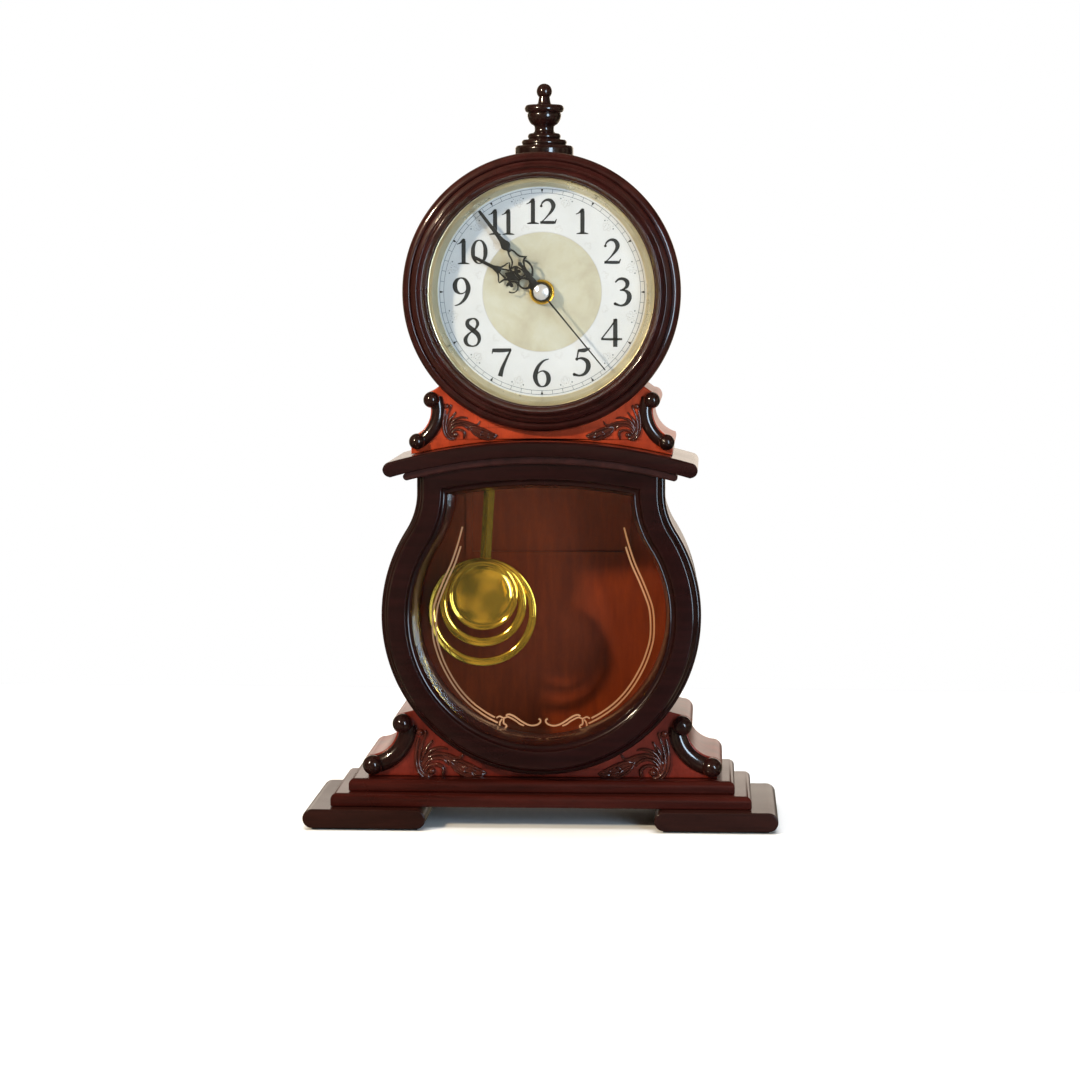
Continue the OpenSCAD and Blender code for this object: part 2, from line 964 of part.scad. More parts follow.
module intermediate_wheel() {
    color([0.9, 0.9, 0.85])
        union() {
            gear(inter_at, inter_teeth, rotor_mod, tooth_to(inter_dir), inter_level);
            gear(inter_at, inter_pinion, second_mod, gap_to(inter_dir, inter_pinion),
                 second_level - 0.2, inter_level - second_level + 0.3);
            rod_y(inter_at[0], dial_z + inter_at[1], pivot_r, -13.8, -4.8);
        }
}

module seconds_wheel() {
    color([0.9, 0.9, 0.85])
        union() {
            gear([0, 0], second_teeth, second_mod, tooth_to(inter_dir), second_level);
            gear([0, 0], second_pinion, third_mod, tooth_to(third_dir),
                 third_level - 0.2, second_level - third_level + 0.3);
            rod_y(0, dial_z, arbor_r, -34, second_level);
            rod_y(0, dial_z, pivot_r, second_level, -4.8);
        }
}

module third_wheel() {
    color([0.9, 0.9, 0.85])
        union() {
            gear(third_at, third_teeth, third_mod, gap_to(third_dir, third_teeth), third_level);
            gear(third_at, third_pinion, centre_mod, gap_to(third_dir, third_pinion),
                 centre_level - 0.2, 1.2);
            rod_y(third_at[0], dial_z + third_at[1], pivot_r, centre_level - 0.4, -4.8);
        }
}

// The centre wheel grips the cannon pinion as a slipping clutch.
module centre_wheel() {
    color([0.9, 0.9, 0.85])
        difference() {
            gear([0, 0], centre_teeth, centre_mod, tooth_to(third_dir), centre_level);
            rod_y(0, dial_z, minute_tube_r + run, -40, -10);
        }
}

module cannon_pinion() {
    color([0.9, 0.9, 0.85])
        difference() {
            union() {
                gear([0, 0], cannon_teeth, minute_mod, tooth_to(minute_dir),
                     cannon_level - 0.2, centre_level - cannon_level + 0.1);
                rod_y(0, dial_z, minute_tube_r, -31.7, centre_level + wheel_t);
            }
            rod_y(0, dial_z, arbor_r + run, -40, -10);
        }
}

module minute_wheel() {
    color([0.9, 0.9, 0.85])
        union() {
            gear(minute_axis, minute_teeth, minute_mod, gap_to(minute_dir, minute_teeth), cannon_level);
            gear(minute_axis, minute_pinion, hour_mod, gap_to(minute_dir, minute_pinion),
                 hour_level - 0.1, cannon_level - hour_level + 0.2);
            rod_y(minute_axis[0], dial_z + minute_axis[1], pivot_r, -19.9, cannon_level);
            rod_y(minute_axis[0], dial_z + minute_axis[1], 1.1, cannon_level, -3);
        }
}

module setting_knob() {
    color([0.15, 0.15, 0.16])
        difference() {
            union() {
                rod_y(minute_axis[0], dial_z + minute_axis[1], 4.6, -3, -0.5);
                for (i = [0:17])
                    rod_y(minute_axis[0] + 4.6 * cos(i * 20), dial_z + minute_axis[1] + 4.6 * sin(i * 20),
                          0.5, -3, -0.5);
            }
            translate([minute_axis[0] - 3, -1.3, dial_z + minute_axis[1] - 0.5])
                cube([6, 1, 1]);
        }
}

module hour_wheel() {
    color([0.9, 0.9, 0.85])
        difference() {
            union() {
                gear([0, 0], hour_teeth, hour_mod, tooth_to(minute_dir), hour_level);
                rod_y(0, dial_z, hour_tube_r, -29.3, hour_level + wheel_t);
            }
            rod_y(0, dial_z, minute_tube_r + run, -40, -10);
        }
}

// ---------- hands ----------

// A pierced hand along +Z from the hub: root scrolls, a barbed waist and a slim point.
module hand_outline(len, waist, hub) {
    difference() {
        circle(hub);
        circle(hub - 1.6);
    }
    translate([-1, hub - 1])
        square([2, waist - hub + 1]);
    for (s = [-1, 1])
        for (z = [0.5, 0.86])
            translate([s * 3, z * waist])
                difference() {
                    circle(2.6, $fn = 32);
                    circle(1.4, $fn = 32);
                }
    polygon([[-1, waist * 0.6], [1, waist * 0.6], [4.2, waist], [1.4, waist + 3], [0.25, len],
             [-0.25, len], [-1.4, waist + 3], [-4.2, waist]]);
}

module hand(y0, at) {
    board(y0, y0 + hand_t)
        translate([0, dial_z])
            rotate(-at)
                children();
}

module hour_hand() {
    color([0.05, 0.05, 0.05])
        difference() {
            hand(hour_y0, hour_at)
                hand_outline(hour_len, 20, 4.6);
            rod_y(0, dial_z, hour_tube_r, -40, -20);
        }
}

module minute_hand() {
    color([0.05, 0.05, 0.05])
        difference() {
            hand(minute_y0, minute_at)
                union() {
                    hand_outline(minute_len, 22, 4.6);
                    circle(4);
                }
            rod_y(0, dial_z, minute_tube_r, -40, -20);
        }
}

module second_hand() {
    color([0.05, 0.05, 0.05])
        difference() {
            union() {
                hand(second_y0, second_at)
                    polygon([[-0.5, 0], [0.5, 0], [0.2, second_len], [-0.2, second_len]]);
                rod_y(0, dial_z, 1.5, second_y0, second_y0 + 1.4);
            }
            rod_y(0, dial_z, arbor_r, -40, -20);
        }
}

module hand_cap() {
    color([0.8, 0.8, 0.82])
        turned(dial_z)
            polygon([
                [0, -second_y0 + 0.35], [arbor_r + run, -second_y0 + 0.35], [arbor_r + run, -second_y0],
                [4.5, -second_y0], [4.5, -second_y0 + 0.4], [3.2, -cap_y0 - 0.2], [0, -cap_y0]
            ]);
}

// ---------- pendulum ----------

// Places a part drawn straight down from the pivot into the leaning pendulum.
module leaning() {
    translate([pivot_x, 0, pivot_z])
        rotate([0, lean, 0])
            children();
}

module pendulum_drive() {
    color([0.1, 0.1, 0.11])
        difference() {
            translate([pivot_x - 15, board_y1, pivot_z - 15])
                cube([30, axle_y0 - board_y1, 23]);
            translate([pivot_x - 9, axle_y0 - 1.2, pivot_z - 13.5])
                cube([18, 2, 7]);
            rod_y(pivot_x, pivot_z, axle_r, axle_y0 - 4, axle_y0 + eps);
        }
}

module pendulum_axle() {
    color([0.75, 0.75, 0.75])
        union() {
            rod_y(pivot_x, pivot_z, axle_r, axle_y0 - 4, -3);
            rod_y(pivot_x, pivot_z, 1.4, -3.9, -3);
        }
}

module pendulum_hanger() {
    color([0.85, 0.85, 0.8])
        leaning()
            difference() {
                union() {
                    board(-7.8, -4.2) {
                        circle(3);
                        translate([-2.5, -28])
                            square([5, 28]);
                        translate([-8, -14.5])
                            square([16, 7]);
                    }
                    board(-7.8, rod_y1)
                        translate([-1.5, -28])
                            square([3, 5]);
                }
                rod_y(0, 0, axle_r + run, -20, 20);
            }
}

// The rod is roof-shaped, with its ridge to the front, and ends in a tongue behind the bob.
module pendulum_rod() {
    top = -23;
    foot = -(bob_drop - ring_d / 2) + 0.3;
    color([0.85, 0.65, 0.2])
        leaning()
            difference() {
                union() {
                    translate([0, 0, foot])
                        linear_extrude(top - foot)
                            polygon([[-rod_w / 2, rod_y1], [rod_w / 2, rod_y1],
                                     [rod_w / 2, rod_y1 - 0.8], [0, rod_y1 - 2.8],
                                     [-rod_w / 2, rod_y1 - 0.8]]);
                    translate([-rod_w / 2, ring_y1, -disc_drop - 6])
                        cube([rod_w, tongue_t, disc_drop + foot + 7]);
                }
                translate([-1.55, -20, -28.05])
                    cube([3.1, 40, 5.1]);
            }
}

module flat_ring(drop, d, band, y0, y1) {
    board(y0, y1)
        translate([0, -drop])
            difference() {
                circle(d = d);
                circle(d = d - 2 * band);
            }
}

module bob_rings() {
    color([0.85, 0.65, 0.2])
        leaning() {
            flat_ring(bob_drop, ring_d, 4.6, ring_y1 - ring_t, ring_y1);
            flat_ring(mid_drop, mid_ring_d, 5, ring_y1 - 2 * ring_t, ring_y1 - ring_t);
        }
}

module bob_disc() {
    f = -ring_y1 + 2 * ring_t;
    color([0.9, 0.7, 0.25])
        leaning()
            turned(-disc_drop)
                polygon(concat(
                    [[0, f], [disc_r, f], [disc_r, f + 1]],
                    arc([disc_r - 0.8, f + 1], 0.8, 0, 150, 5),
                    [[disc_r - 2.2, f + 0.8]],
                    [for (i = [1:6]) [(disc_r - 2.2) * cos(i * 15), f + 0.8 + 2 * sin(i * 15)]]
                ));
}

felt_pads();
left_foot();
right_foot();
lower_plinth();
upper_plinth();
lower_spandrel();
belly_case();
front_frame();
front_glass();
cornice_upper();
cornice_lower();
upper_spandrel();
head_drum();
bezel();
dial_glass();
dial_rim();
dial_plate();
dial_board();
finial();
left_upper_scroll();
right_upper_scroll();
left_lower_scroll();
right_lower_scroll();
upper_leaf_carvings();
lower_leaf_carvings();
back_panel();
panel_screws();
case_hinge_leaves();
hinge_pins();
catch_magnet();
movement_front();
movement_back();
train_plate();
mounting_nut();
drive_coil();
stator();
circuit_and_contacts();
battery();
pendulum_drive();
pendulum_axle();
rotor();
intermediate_wheel();
seconds_wheel();
second_hand();
hand_cap();
third_wheel();
centre_wheel();
cannon_pinion();
minute_hand();
minute_wheel();
setting_knob();
hour_wheel();
hour_hand();
pendulum_hanger();
pendulum_rod();
bob_rings();
bob_disc();
rear_door();
door_hinge_leaves();
door_knob();
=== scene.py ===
from math import asin, atan2, cos, degrees, dist, hypot, pi, radians, sin, sqrt

import bmesh
import bpy
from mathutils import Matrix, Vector
from mathutils.geometry import tessellate_polygon


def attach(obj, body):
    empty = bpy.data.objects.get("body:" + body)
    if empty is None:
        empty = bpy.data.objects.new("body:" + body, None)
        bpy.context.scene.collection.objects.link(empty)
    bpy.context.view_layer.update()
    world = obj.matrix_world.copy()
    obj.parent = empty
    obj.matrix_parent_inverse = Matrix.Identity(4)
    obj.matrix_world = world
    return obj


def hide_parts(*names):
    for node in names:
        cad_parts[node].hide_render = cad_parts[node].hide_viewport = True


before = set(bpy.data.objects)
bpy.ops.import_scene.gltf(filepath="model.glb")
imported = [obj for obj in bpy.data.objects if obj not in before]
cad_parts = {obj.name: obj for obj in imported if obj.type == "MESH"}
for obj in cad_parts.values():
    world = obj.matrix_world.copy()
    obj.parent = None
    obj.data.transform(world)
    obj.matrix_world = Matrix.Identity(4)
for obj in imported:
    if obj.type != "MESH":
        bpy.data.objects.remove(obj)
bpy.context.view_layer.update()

# All shapes below are written in millimetres in the row frame: X right, -Y to the front, Z up.
MM = 0.001
DIAL_Z = 302.5          # centre of the dial, head and hands
BELLY_Z = 120.4         # centre of the round belly
ARCH_Z = -93.2          # centre of the arcs over the belly and through the cornice
BACK_Y = 50             # back of the case
WELL_X, WELL_Y = 52, -14    # half width and front of the well that the pendulum hangs down


# ---------- materials ----------

EVEN = (1, 1, 1)    # a texture that isn't stretched


def add_node(tree, kind, values=(), **attributes):
    """A shader node; each value is either linked to a socket or set on it."""
    n = tree.nodes.new(kind)
    for k, v in attributes.items():
        setattr(n, k, v)
    for k, v in dict(values).items():
        if isinstance(v, bpy.types.NodeSocket):
            tree.links.new(v, n.inputs[k])
        else:
            n.inputs[k].default_value = v
    return n


def colour_ramp(tree, fac, stops):
    n = add_node(tree, "ShaderNodeValToRGB", {"Fac": fac})
    points = n.color_ramp.elements
    while len(points) < len(stops):
        points.new(0.5)
    for p, (at, c) in zip(points, stops):
        p.position = at
        p.color = (*c, 1)
    return n.outputs["Color"]


def scaled(color, k):
    return [min(1, c * k) for c in color]


class Paint:
    """A Principled material with helpers for procedural layers."""

    def __init__(self, name, color, rough, metal=0, coat=0, coat_rough=0.1, spec=0.5):
        self.mat = bpy.data.materials.new(name)
        self.mat.use_nodes = True
        self.tree = self.mat.node_tree
        self.shader = self.tree.nodes["Principled BSDF"]
        self.set("Base Color", (*color, 1))
        self.set("Roughness", rough)
        self.set("Metallic", metal)
        self.set("Coat Weight", coat)
        self.set("Coat Roughness", coat_rough)
        self.set("Specular IOR Level", spec)
        self.mat.diffuse_color = (*color, 1)

    def set(self, socket, value):
        self.shader.inputs[socket].default_value = value

    def node(self, kind, values=(), **attributes):
        return add_node(self.tree, kind, values, **attributes)

    def noise(self, scale, stretch=EVEN, detail=4, rough=0.55, distort=0):
        where = self.node("ShaderNodeTexCoord").outputs["Object"]
        place = self.node("ShaderNodeMapping", {"Vector": where, "Scale": stretch}).outputs[0]
        return self.node("ShaderNodeTexNoise", {
            "Vector": place, "Scale": scale, "Detail": detail,
            "Roughness": rough, "Distortion": distort}).outputs["Fac"]

    def span(self, fac, a, b, lo=0.3, hi=0.7):
        """Maps a noise value from lo..hi to a..b."""
        return self.node("ShaderNodeMapRange", {
            "Value": fac, "From Min": lo, "From Max": hi, "To Min": a, "To Max": b}).outputs[0]

    def mix(self, fac, a, b):
        """Colour a, turning to colour b where fac is high."""
        n = self.node("ShaderNodeMix", {"Factor": fac, 6: a, 7: (*b, 1)}, data_type="RGBA")
        return n.outputs[2]

    def link(self, out, socket):
        self.tree.links.new(out, self.shader.inputs[socket])
        return self

    def bump(self, *layers):
        """Each layer is (height, strength, distance in metres)."""
        normal = None
        for height, strength, distance in layers:
            values = {"Height": height, "Strength": strength, "Distance": distance}
            if normal is not None:
                values["Normal"] = normal
            normal = self.node("ShaderNodeBump", values).outputs["Normal"]
        return self.link(normal, "Normal")


def lacquered(name, dark, light, rough=0.3, coat=0.6, coat_rough=0.12, grain=(1, 12, 12), wear=0.5):
    """Stained wood under lacquer: grain, pores, a faint orange peel and uneven gloss."""
    middle = [(a + b) / 2 for a, b in zip(dark, light)]
    p = Paint(name, middle, rough, coat=coat, coat_rough=coat_rough, spec=0.12)
    bands = p.noise(26, grain, 6, 0.6, 0.35)
    pores = p.noise(420, tuple(g * 0.8 for g in grain), 2, 0.5)
    cloud = p.noise(9, EVEN, 3, 0.5)
    between = [a * 0.55 + b * 0.45 for a, b in zip(dark, light)]
    tone = colour_ramp(p.tree, bands, [(0.3, dark), (0.52, between), (0.75, light)])
    tone = p.mix(p.span(pores, 0, 0.35, 0.56, 0.7), tone, scaled(dark, 0.5))
    tone = p.mix(p.span(cloud, 0, 0.3 * wear, 0.45, 0.75), tone, scaled(light, 1.5))
    p.link(tone, "Base Color")
    p.link(p.span(cloud, rough - 0.05, rough + 0.12), "Roughness")
    peel = p.noise(700, EVEN, 1, 0.4)
    return p.bump((pores, 0.12, 0.0002), (peel, 0.05, 0.0002))


def metal(name, color, rough, scratch=(1, 1, 30), depth=0.03, tint=0.85, metallic=1):
    """Polished metal with fine scratches, and smears that are duller and darker by tint."""
    p = Paint(name, color, rough, metal=metallic)
    lines = p.noise(160, scratch, 3, 0.6)
    smear = p.noise(30, EVEN, 4, 0.6)
    p.link(p.mix(p.span(smear, 0, 1), (*color, 1), scaled(color, tint)), "Base Color")
    p.link(p.span(smear, rough * 0.7, rough * 1.5), "Roughness")
    return p.bump((lines, depth, 0.0001))


def plastic(name, color, rough, grain=900, depth=0.06):
    """A moulded or printed surface with a fine grain and a slightly uneven gloss."""
    p = Paint(name, color, rough)
    fine = p.noise(grain, EVEN, 2, 0.5)
    smear = p.noise(40, EVEN, 3, 0.5)
    p.link(p.mix(p.span(smear, 0, 0.5), (*color, 1), scaled(color, 0.8)), "Base Color")
    p.link(p.span(smear, rough - 0.06, rough + 0.08), "Roughness")
    return p.bump((fine, depth, 0.0001))


def pane(name, tint, smudge):
    """Thin clear glass: see-through but for smudge, the small part of its face that mirrors."""
    p = Paint(name, tint, 0.03, metal=1)
    haze = p.noise(14, (1, 1, 2.2), 5, 0.6)
    p.link(p.span(haze, smudge * 0.6, smudge, 0.35, 0.75), "Alpha")
    p.link(p.span(haze, 0.02, 0.05), "Roughness")
    p.mat.use_transparent_shadow = True
    return p.bump((p.noise(5, EVEN, 1), 0.02, 0.001))


# One paint for each material slot of the record, and for a few pieces of their own.
P = {
    "foot_wood": lacquered("foot wood", (0.009, 0.0022, 0.0014), (0.022, 0.005, 0.0032), 0.32, 0.35,
                           0.14),
    "plinth_wood": lacquered("plinth wood", (0.016, 0.0022, 0.0014), (0.042, 0.0052, 0.0032), 0.28,
                             0.35, 0.12),
    "spandrel_wood": lacquered("cherry wood", (0.18, 0.019, 0.006), (0.44, 0.05, 0.014), 0.3, 0.3,
                               0.16, (3, 3, 1.2), 0.8),
    "lower_spandrel": lacquered("dark cherry wood", (0.075, 0.0075, 0.004), (0.18, 0.018, 0.009),
                                0.32, 0.35, 0.18, (3, 3, 1.2), 0.8),
    "case_wood": lacquered("case wood", (0.013, 0.0032, 0.0028), (0.032, 0.008, 0.007), 0.36, 0.4,
                           0.16, (6, 1, 6)),
    "frame_wood": lacquered("frame wood", (0.0065, 0.0015, 0.0014), (0.0155, 0.003, 0.0028), 0.25,
                            0.5, 0.08),
    "bezel_wood": lacquered("bezel wood", (0.014, 0.003, 0.0022), (0.034, 0.0066, 0.0052), 0.25,
                            0.7, 0.08, (4, 4, 4)),
    "gloss_wood": lacquered("gloss wood", (0.007, 0.0022, 0.0018), (0.018, 0.005, 0.004), 0.22, 1,
                            0.1, (5, 5, 5)),
    "dial_face": plastic("dial face", (0.51, 0.54, 0.56), 0.45, 1600, 0.03),
    "rim_gold": metal("rim gold", (0.78, 0.68, 0.44), 0.3, (1, 30, 1), 0.03),
    "hand_black": plastic("hand black", (0.006, 0.0065, 0.007), 0.35, 1200, 0.03),
    "cap_silver": metal("cap silver", (0.8, 0.8, 0.8), 0.16, metallic=0.6),
    "brass": metal("brass", (1, 0.62, 0.08), 0.09, (1, 1, 8), 0.015, 0.8, 0.88),
    "steel": metal("steel", (0.56, 0.56, 0.58), 0.28),
    "magnet": plastic("magnet", (0.05, 0.05, 0.055), 0.4),
    "black_plastic": plastic("black plastic", (0.012, 0.012, 0.013), 0.5),
    "white_plastic": plastic("white plastic", (0.72, 0.71, 0.66), 0.35),
    "copper_wire": metal("copper wire", (0.75, 0.34, 0.16), 0.3, (90, 1, 1), 0.4),
    "circuit": plastic("circuit board", (0.02, 0.14, 0.05), 0.35),
    "battery_wrap": plastic("battery wrap", (0.03, 0.03, 0.032), 0.25),
    "felt": plastic("felt", (0.012, 0.01, 0.01), 0.95, 2600, 0.9),
    "clear_glass": pane("clear glass", (0.9, 0.92, 0.93), 0.045),
    "back_board": lacquered("inner board", (0.14, 0.018, 0.002), (0.23, 0.031, 0.003), 0.42, 0.1,
                            0.3, (8, 1, 1.3), 0.2),
}
P["felt"].set("Sheen Weight", 0.3)

carving = lacquered("carved wood", (0.03, 0.0065, 0.0045), (0.085, 0.017, 0.01), 0.2, 1, 0.07,
                    (5, 5, 5))
ink = plastic("dial ink", (0.012, 0.015, 0.017), 0.4)
grey_ink = plastic("pale ink", (0.42, 0.43, 0.44), 0.5)
track_ink = plastic("track ink", (0.1, 0.13, 0.15), 0.5)
copper_line = metal("copper line", (0.8, 0.42, 0.22), 0.35, metallic=0.6)

parchment = Paint("parchment", (0.38, 0.375, 0.29), 0.5)
blots = parchment.noise(46, EVEN, 6, 0.62, 0.4)
stains = [(0.3, (0.32, 0.305, 0.225)), (0.5, (0.38, 0.375, 0.29)), (0.72, (0.42, 0.435, 0.37))]
parchment.link(colour_ramp(parchment.tree, blots, stains), "Base Color")
parchment.bump((parchment.noise(1300, EVEN, 2), 0.05, 0.0001))


# ---------- mesh helpers ----------

class Shape:
    """Collects the points, in millimetres, and the faces of one piece."""

    def __init__(self):
        self.verts, self.faces = [], []

    def add(self, verts, faces):
        k = len(self.verts)
        self.verts += list(verts)
        self.faces += [[k + i for i in f] for f in faces]
        return self

    def rings(self, rings, round_trip=False, caps=True, closed=True):
        """Quads between rings of equally many points, each ring a closed loop unless told."""
        n, m = len(rings[0]), len(rings)
        faces = []
        for i in range(m if round_trip else m - 1):
            j = (i + 1) % m
            for a in range(n if closed else n - 1):
                b = (a + 1) % n
                faces.append([i * n + a, i * n + b, j * n + b, j * n + a])
        if caps and not round_trip:
            faces.append(list(range(n))[::-1])
            faces.append([(m - 1) * n + a for a in range(n)])
        return self.add([p for r in rings for p in r], faces)

    def make(self, name, paint, body, replaces=(), slot=None, angle=35):
        """Makes the mesh, lets it ride on a CAD body and lets it stand for CAD nodes."""
        mesh = bpy.data.meshes.new(name)
        mesh.from_pydata([(x * MM, y * MM, z * MM) for x, y, z in self.verts], [], self.faces)
        bm = bmesh.new()
        bm.from_mesh(mesh)
        bmesh.ops.remove_doubles(bm, verts=bm.verts, dist=1e-7)
        bmesh.ops.recalc_face_normals(bm, faces=bm.faces)
        bm.to_mesh(mesh)
        bm.free()
        mesh.polygons.foreach_set("use_smooth", [True] * len(mesh.polygons))
        mesh.set_sharp_from_angle(angle=radians(angle))
        mesh.materials.append(paint.mat)
        obj = bpy.data.objects.new("vis_" + name.replace(" ", "_"), mesh)
        bpy.context.scene.collection.objects.link(obj)
        even = obj.modifiers.new("even shading", "WEIGHTED_NORMAL")
        even.keep_sharp = True
        if replaces:
            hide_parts(*replaces)
        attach(obj, body)

    def stand(self, name, slot, body="case", **k):
        """Makes a piece that takes the place of the CAD node with its own name."""
        self.make(name, P[slot], body, replaces=[name.replace(" ", "_")], slot=slot, **k)


MIN_GAP = 0.05      # outline points closer than this fold over when the outline is drawn in
EDGE_STEPS = 4


def arc(c, r, a0, a1, n=8):
    steps = [radians(a0 + (a1 - a0) * i / n) for i in range(n + 1)]
    return [(c[0] + r * cos(a), c[1] + r * sin(a)) for a in steps]


def offset(poly, d):
    """Moves a closed outline inwards by d, point by point (counter-clockwise outline)."""
    out, n = [], len(poly)
    for i in range(n):
        a, b, c = poly[i - 1], poly[i], poly[(i + 1) % n]
        e, f = (b[0] - a[0], b[1] - a[1]), (c[0] - b[0], c[1] - b[1])
        le, lf = hypot(*e) or 1, hypot(*f) or 1
        n1, n2 = (-e[1] / le, e[0] / le), (-f[1] / lf, f[0] / lf)
        s = (n1[0] + n2[0], n1[1] + n2[1])
        k = d / max(0.35, (s[0] * n1[0] + s[1] * n1[1]))
        out.append((b[0] + s[0] * k, b[1] + s[1] * k))
    return out


def slab(shape, poly, y0, y1, edge, back=0):
    """Extrudes an outline from y0 back to y1: a rounded front edge and a bevelled back one."""
    poly = [p for i, p in enumerate(poly) if dist(p, poly[i - 1]) > MIN_GAP]
    rings = []
    for i in range(EDGE_STEPS, -1, -1):
        a = pi / 2 * i / EDGE_STEPS
        y = y0 + edge * (1 - sin(a))
        rings.append([(x, y, z) for x, z in offset(poly, edge * (1 - cos(a)))])
    rings.append([(x, y1 - back, z) for x, z in poly])
    if back:
        rings.append([(x, y1, z) for x, z in offset(poly, back)])
    first, last = len(shape.verts), len(shape.verts) + (len(rings) - 1) * len(poly)
    shape.rings(rings, caps=False)
    for t in tessellate_polygon([[Vector((x, z, 0)) for x, z in poly]]):
        shape.faces += [[first + i for i in t], [last + i for i in t[::-1]]]
    return shape


def turned(shape, profile, cx=0, cz=DIAL_Z, n=160, closed=True, y_axis=True, start=0, sweep=360):
    """Turns a (radius, y) profile about an axis along Y, or a (radius, z) profile about Z."""
    full = sweep == 360
    rings = []
    for i in range(n if full else n + 1):
        a = radians(start + sweep * i / n)
        if y_axis:
            rings.append([(cx + r * cos(a), y, cz + r * sin(a)) for r, y in profile])
        else:
            rings.append([(cx + r * cos(a), r * sin(a), z) for r, z in profile])
    return shape.rings(rings, round_trip=full, closed=closed)


def spline(points, n=10):
    """A smooth path through points of any dimension (Catmull-Rom)."""
    p = [points[0]] + list(points) + [points[-1]]
    out = []
    for i in range(1, len(p) - 2):
        for s in range(n):
            t = s / n
            out.append(tuple(
                0.5 * (2 * p[i][k] + (p[i + 1][k] - p[i - 1][k]) * t
                       + (2 * p[i - 1][k] - 5 * p[i][k] + 4 * p[i + 1][k] - p[i + 2][k]) * t * t
                       + (3 * p[i][k] - p[i - 1][k] - 3 * p[i + 1][k] + p[i + 2][k]) * t ** 3)
                for k in range(len(p[0]))))
    out.append(tuple(points[-1]))
    return out


MIN_WIDTH = 0.02
RIBBON_BEVEL = 0.12
NARROWED = 0.82


def normals(path, z_at=1):
    """A unit normal in the X-Z plane at each point of a path."""
    for i in range(len(path)):
        a, b = path[max(0, i - 1)], path[min(len(path) - 1, i + 1)]
        dx, dz = b[0] - a[0], b[z_at] - a[z_at]
        k = hypot(dx, dz) or 1
        yield -dz / k, dx / k


def ribbon(points, n=8, smooth=True):
    """The left and right edges of a path of (x, z, width) points."""
    path = spline(points, n) if smooth else list(points)
    left, right = [], []
    for (x, z, w), (nx, nz) in zip(path, normals(path)):
        w = max(w, MIN_WIDTH) / 2
        left.append((x + nx * w, z + nz * w))
        right.append((x - nx * w, z - nz * w))
    return left, right


def flat_ribbon(shape, points, y, move=lambda p: p, n=8, smooth=True):
    left, right = ribbon(points, n, smooth)
    k = len(left)
    faces = [[i, i + 1, k + i + 1, k + i] for i in range(k - 1)]
    return shape.add([(x, y, z) for x, z in map(move, left + right)], faces)


def solid_ribbon(shape, points, y0, y1, move=lambda p: p, n=8):
    """A ribbon with thickness, from y0 back to y1, its front narrowed by a bevel."""
    rings = []
    for a, b in zip(*ribbon(points, n)):
        a, b = move(a), move(b)
        m = ((a[0] + b[0]) / 2, (a[1] + b[1]) / 2)
        ai, bi = ([m[i] + (p[i] - m[i]) * NARROWED for i in (0, 1)] for p in (a, b))
        y = y0 + RIBBON_BEVEL
        rings.append([(a[0], y1, a[1]), (a[0], y, a[1]), (ai[0], y0, ai[1]),
                      (bi[0], y0, bi[1]), (b[0], y, b[1]), (b[0], y1, b[1])])
    return shape.rings(rings)


def around(n, turn=0):
    """n even steps round a circle, the first of them turned by a part of a step."""
    return [2 * pi * (i + turn) / n for i in range(n)]


def disc(shape, x, z, r, y, move=lambda p: p, n=20):
    pts = [move((x + r * cos(a), z + r * sin(a))) for a in around(n)]
    return shape.add([(px, y, pz) for px, pz in pts], [list(range(n))])


def ring(shape, r0, r1, y, n=180):
    """A flat ring about the centre of the dial."""
    pts = []
    for a in around(n):
        pts += [(r * cos(a), y, DIAL_Z + r * sin(a)) for r in (r0, r1)]
    faces = [[2 * i, 2 * i + 1, (2 * i + 3) % (2 * n), (2 * i + 2) % (2 * n)] for i in range(n)]
    return shape.add(pts, faces)


def tube(shape, path, squash, sides, floor_y):
    """A tapered rod along (x, y, z, radius) points of one y. Its depth is scaled by squash, and
    nothing of it goes further back than floor_y."""
    rings = []
    for (x, y, z, r), (nx, nz) in zip(path, normals(path, 2)):
        loop = []
        for t in around(sides):
            c, d = r * cos(t), r * squash * sin(t)
            loop.append((x + nx * c, min(y - d, floor_y), z + nz * c))
        rings.append(loop)
    return shape.rings(rings)


def ball(shape, x, y, z, r, squash=1, n=32):
    rings = []
    for i in range(1, n // 2):
        a = pi * i / (n // 2)
        rings.append([(x + r * sin(a) * cos(t), y + r * squash * cos(a),
                       z + r * sin(a) * sin(t)) for t in around(n)])
    return shape.rings(rings)


def mirrored(poly):
    return [(-x, z) for x, z in poly][::-1]


# ---------- base ----------

for name, s in (("left", -1), ("right", 1)):
    foot = arc((128.6, 6.6), 5.4, -90, 90, 14) + arc((69.8, 6.6), 5.4, 90, 270, 14)
    if s < 0:
        foot = mirrored(foot)
    slab(Shape(), foot, -52.5, 52.5, 0.7, 0.7).stand(name + " foot", "foot_wood")

STEP_ROUND = 3.4    # radius of a plinth's rounded top edge


def moulded_step(name, half, y0, z0, h):
    """A step whose moulding runs round the front and both ends."""
    levels = [(0.9, z0), (0.25, z0 + 0.25), (0, z0 + 0.9)]
    levels += [(STEP_ROUND - STEP_ROUND * cos(a), z0 + h - STEP_ROUND + STEP_ROUND * sin(a))
               for a in [pi / 2 * i / 9 for i in range(10)]]
    rings = [[(-half + i, y0 + i, z), (half - i, y0 + i, z), (half - i, BACK_Y, z),
              (-half + i, BACK_Y, z)]
             for i, z in levels]
    Shape().rings(rings).stand(name, "plinth_wood", angle=28)


moulded_step("lower plinth", 119.1, -42.5, 12, 7.4)
moulded_step("upper plinth", 109.6, -34, 19.4, 7.2)

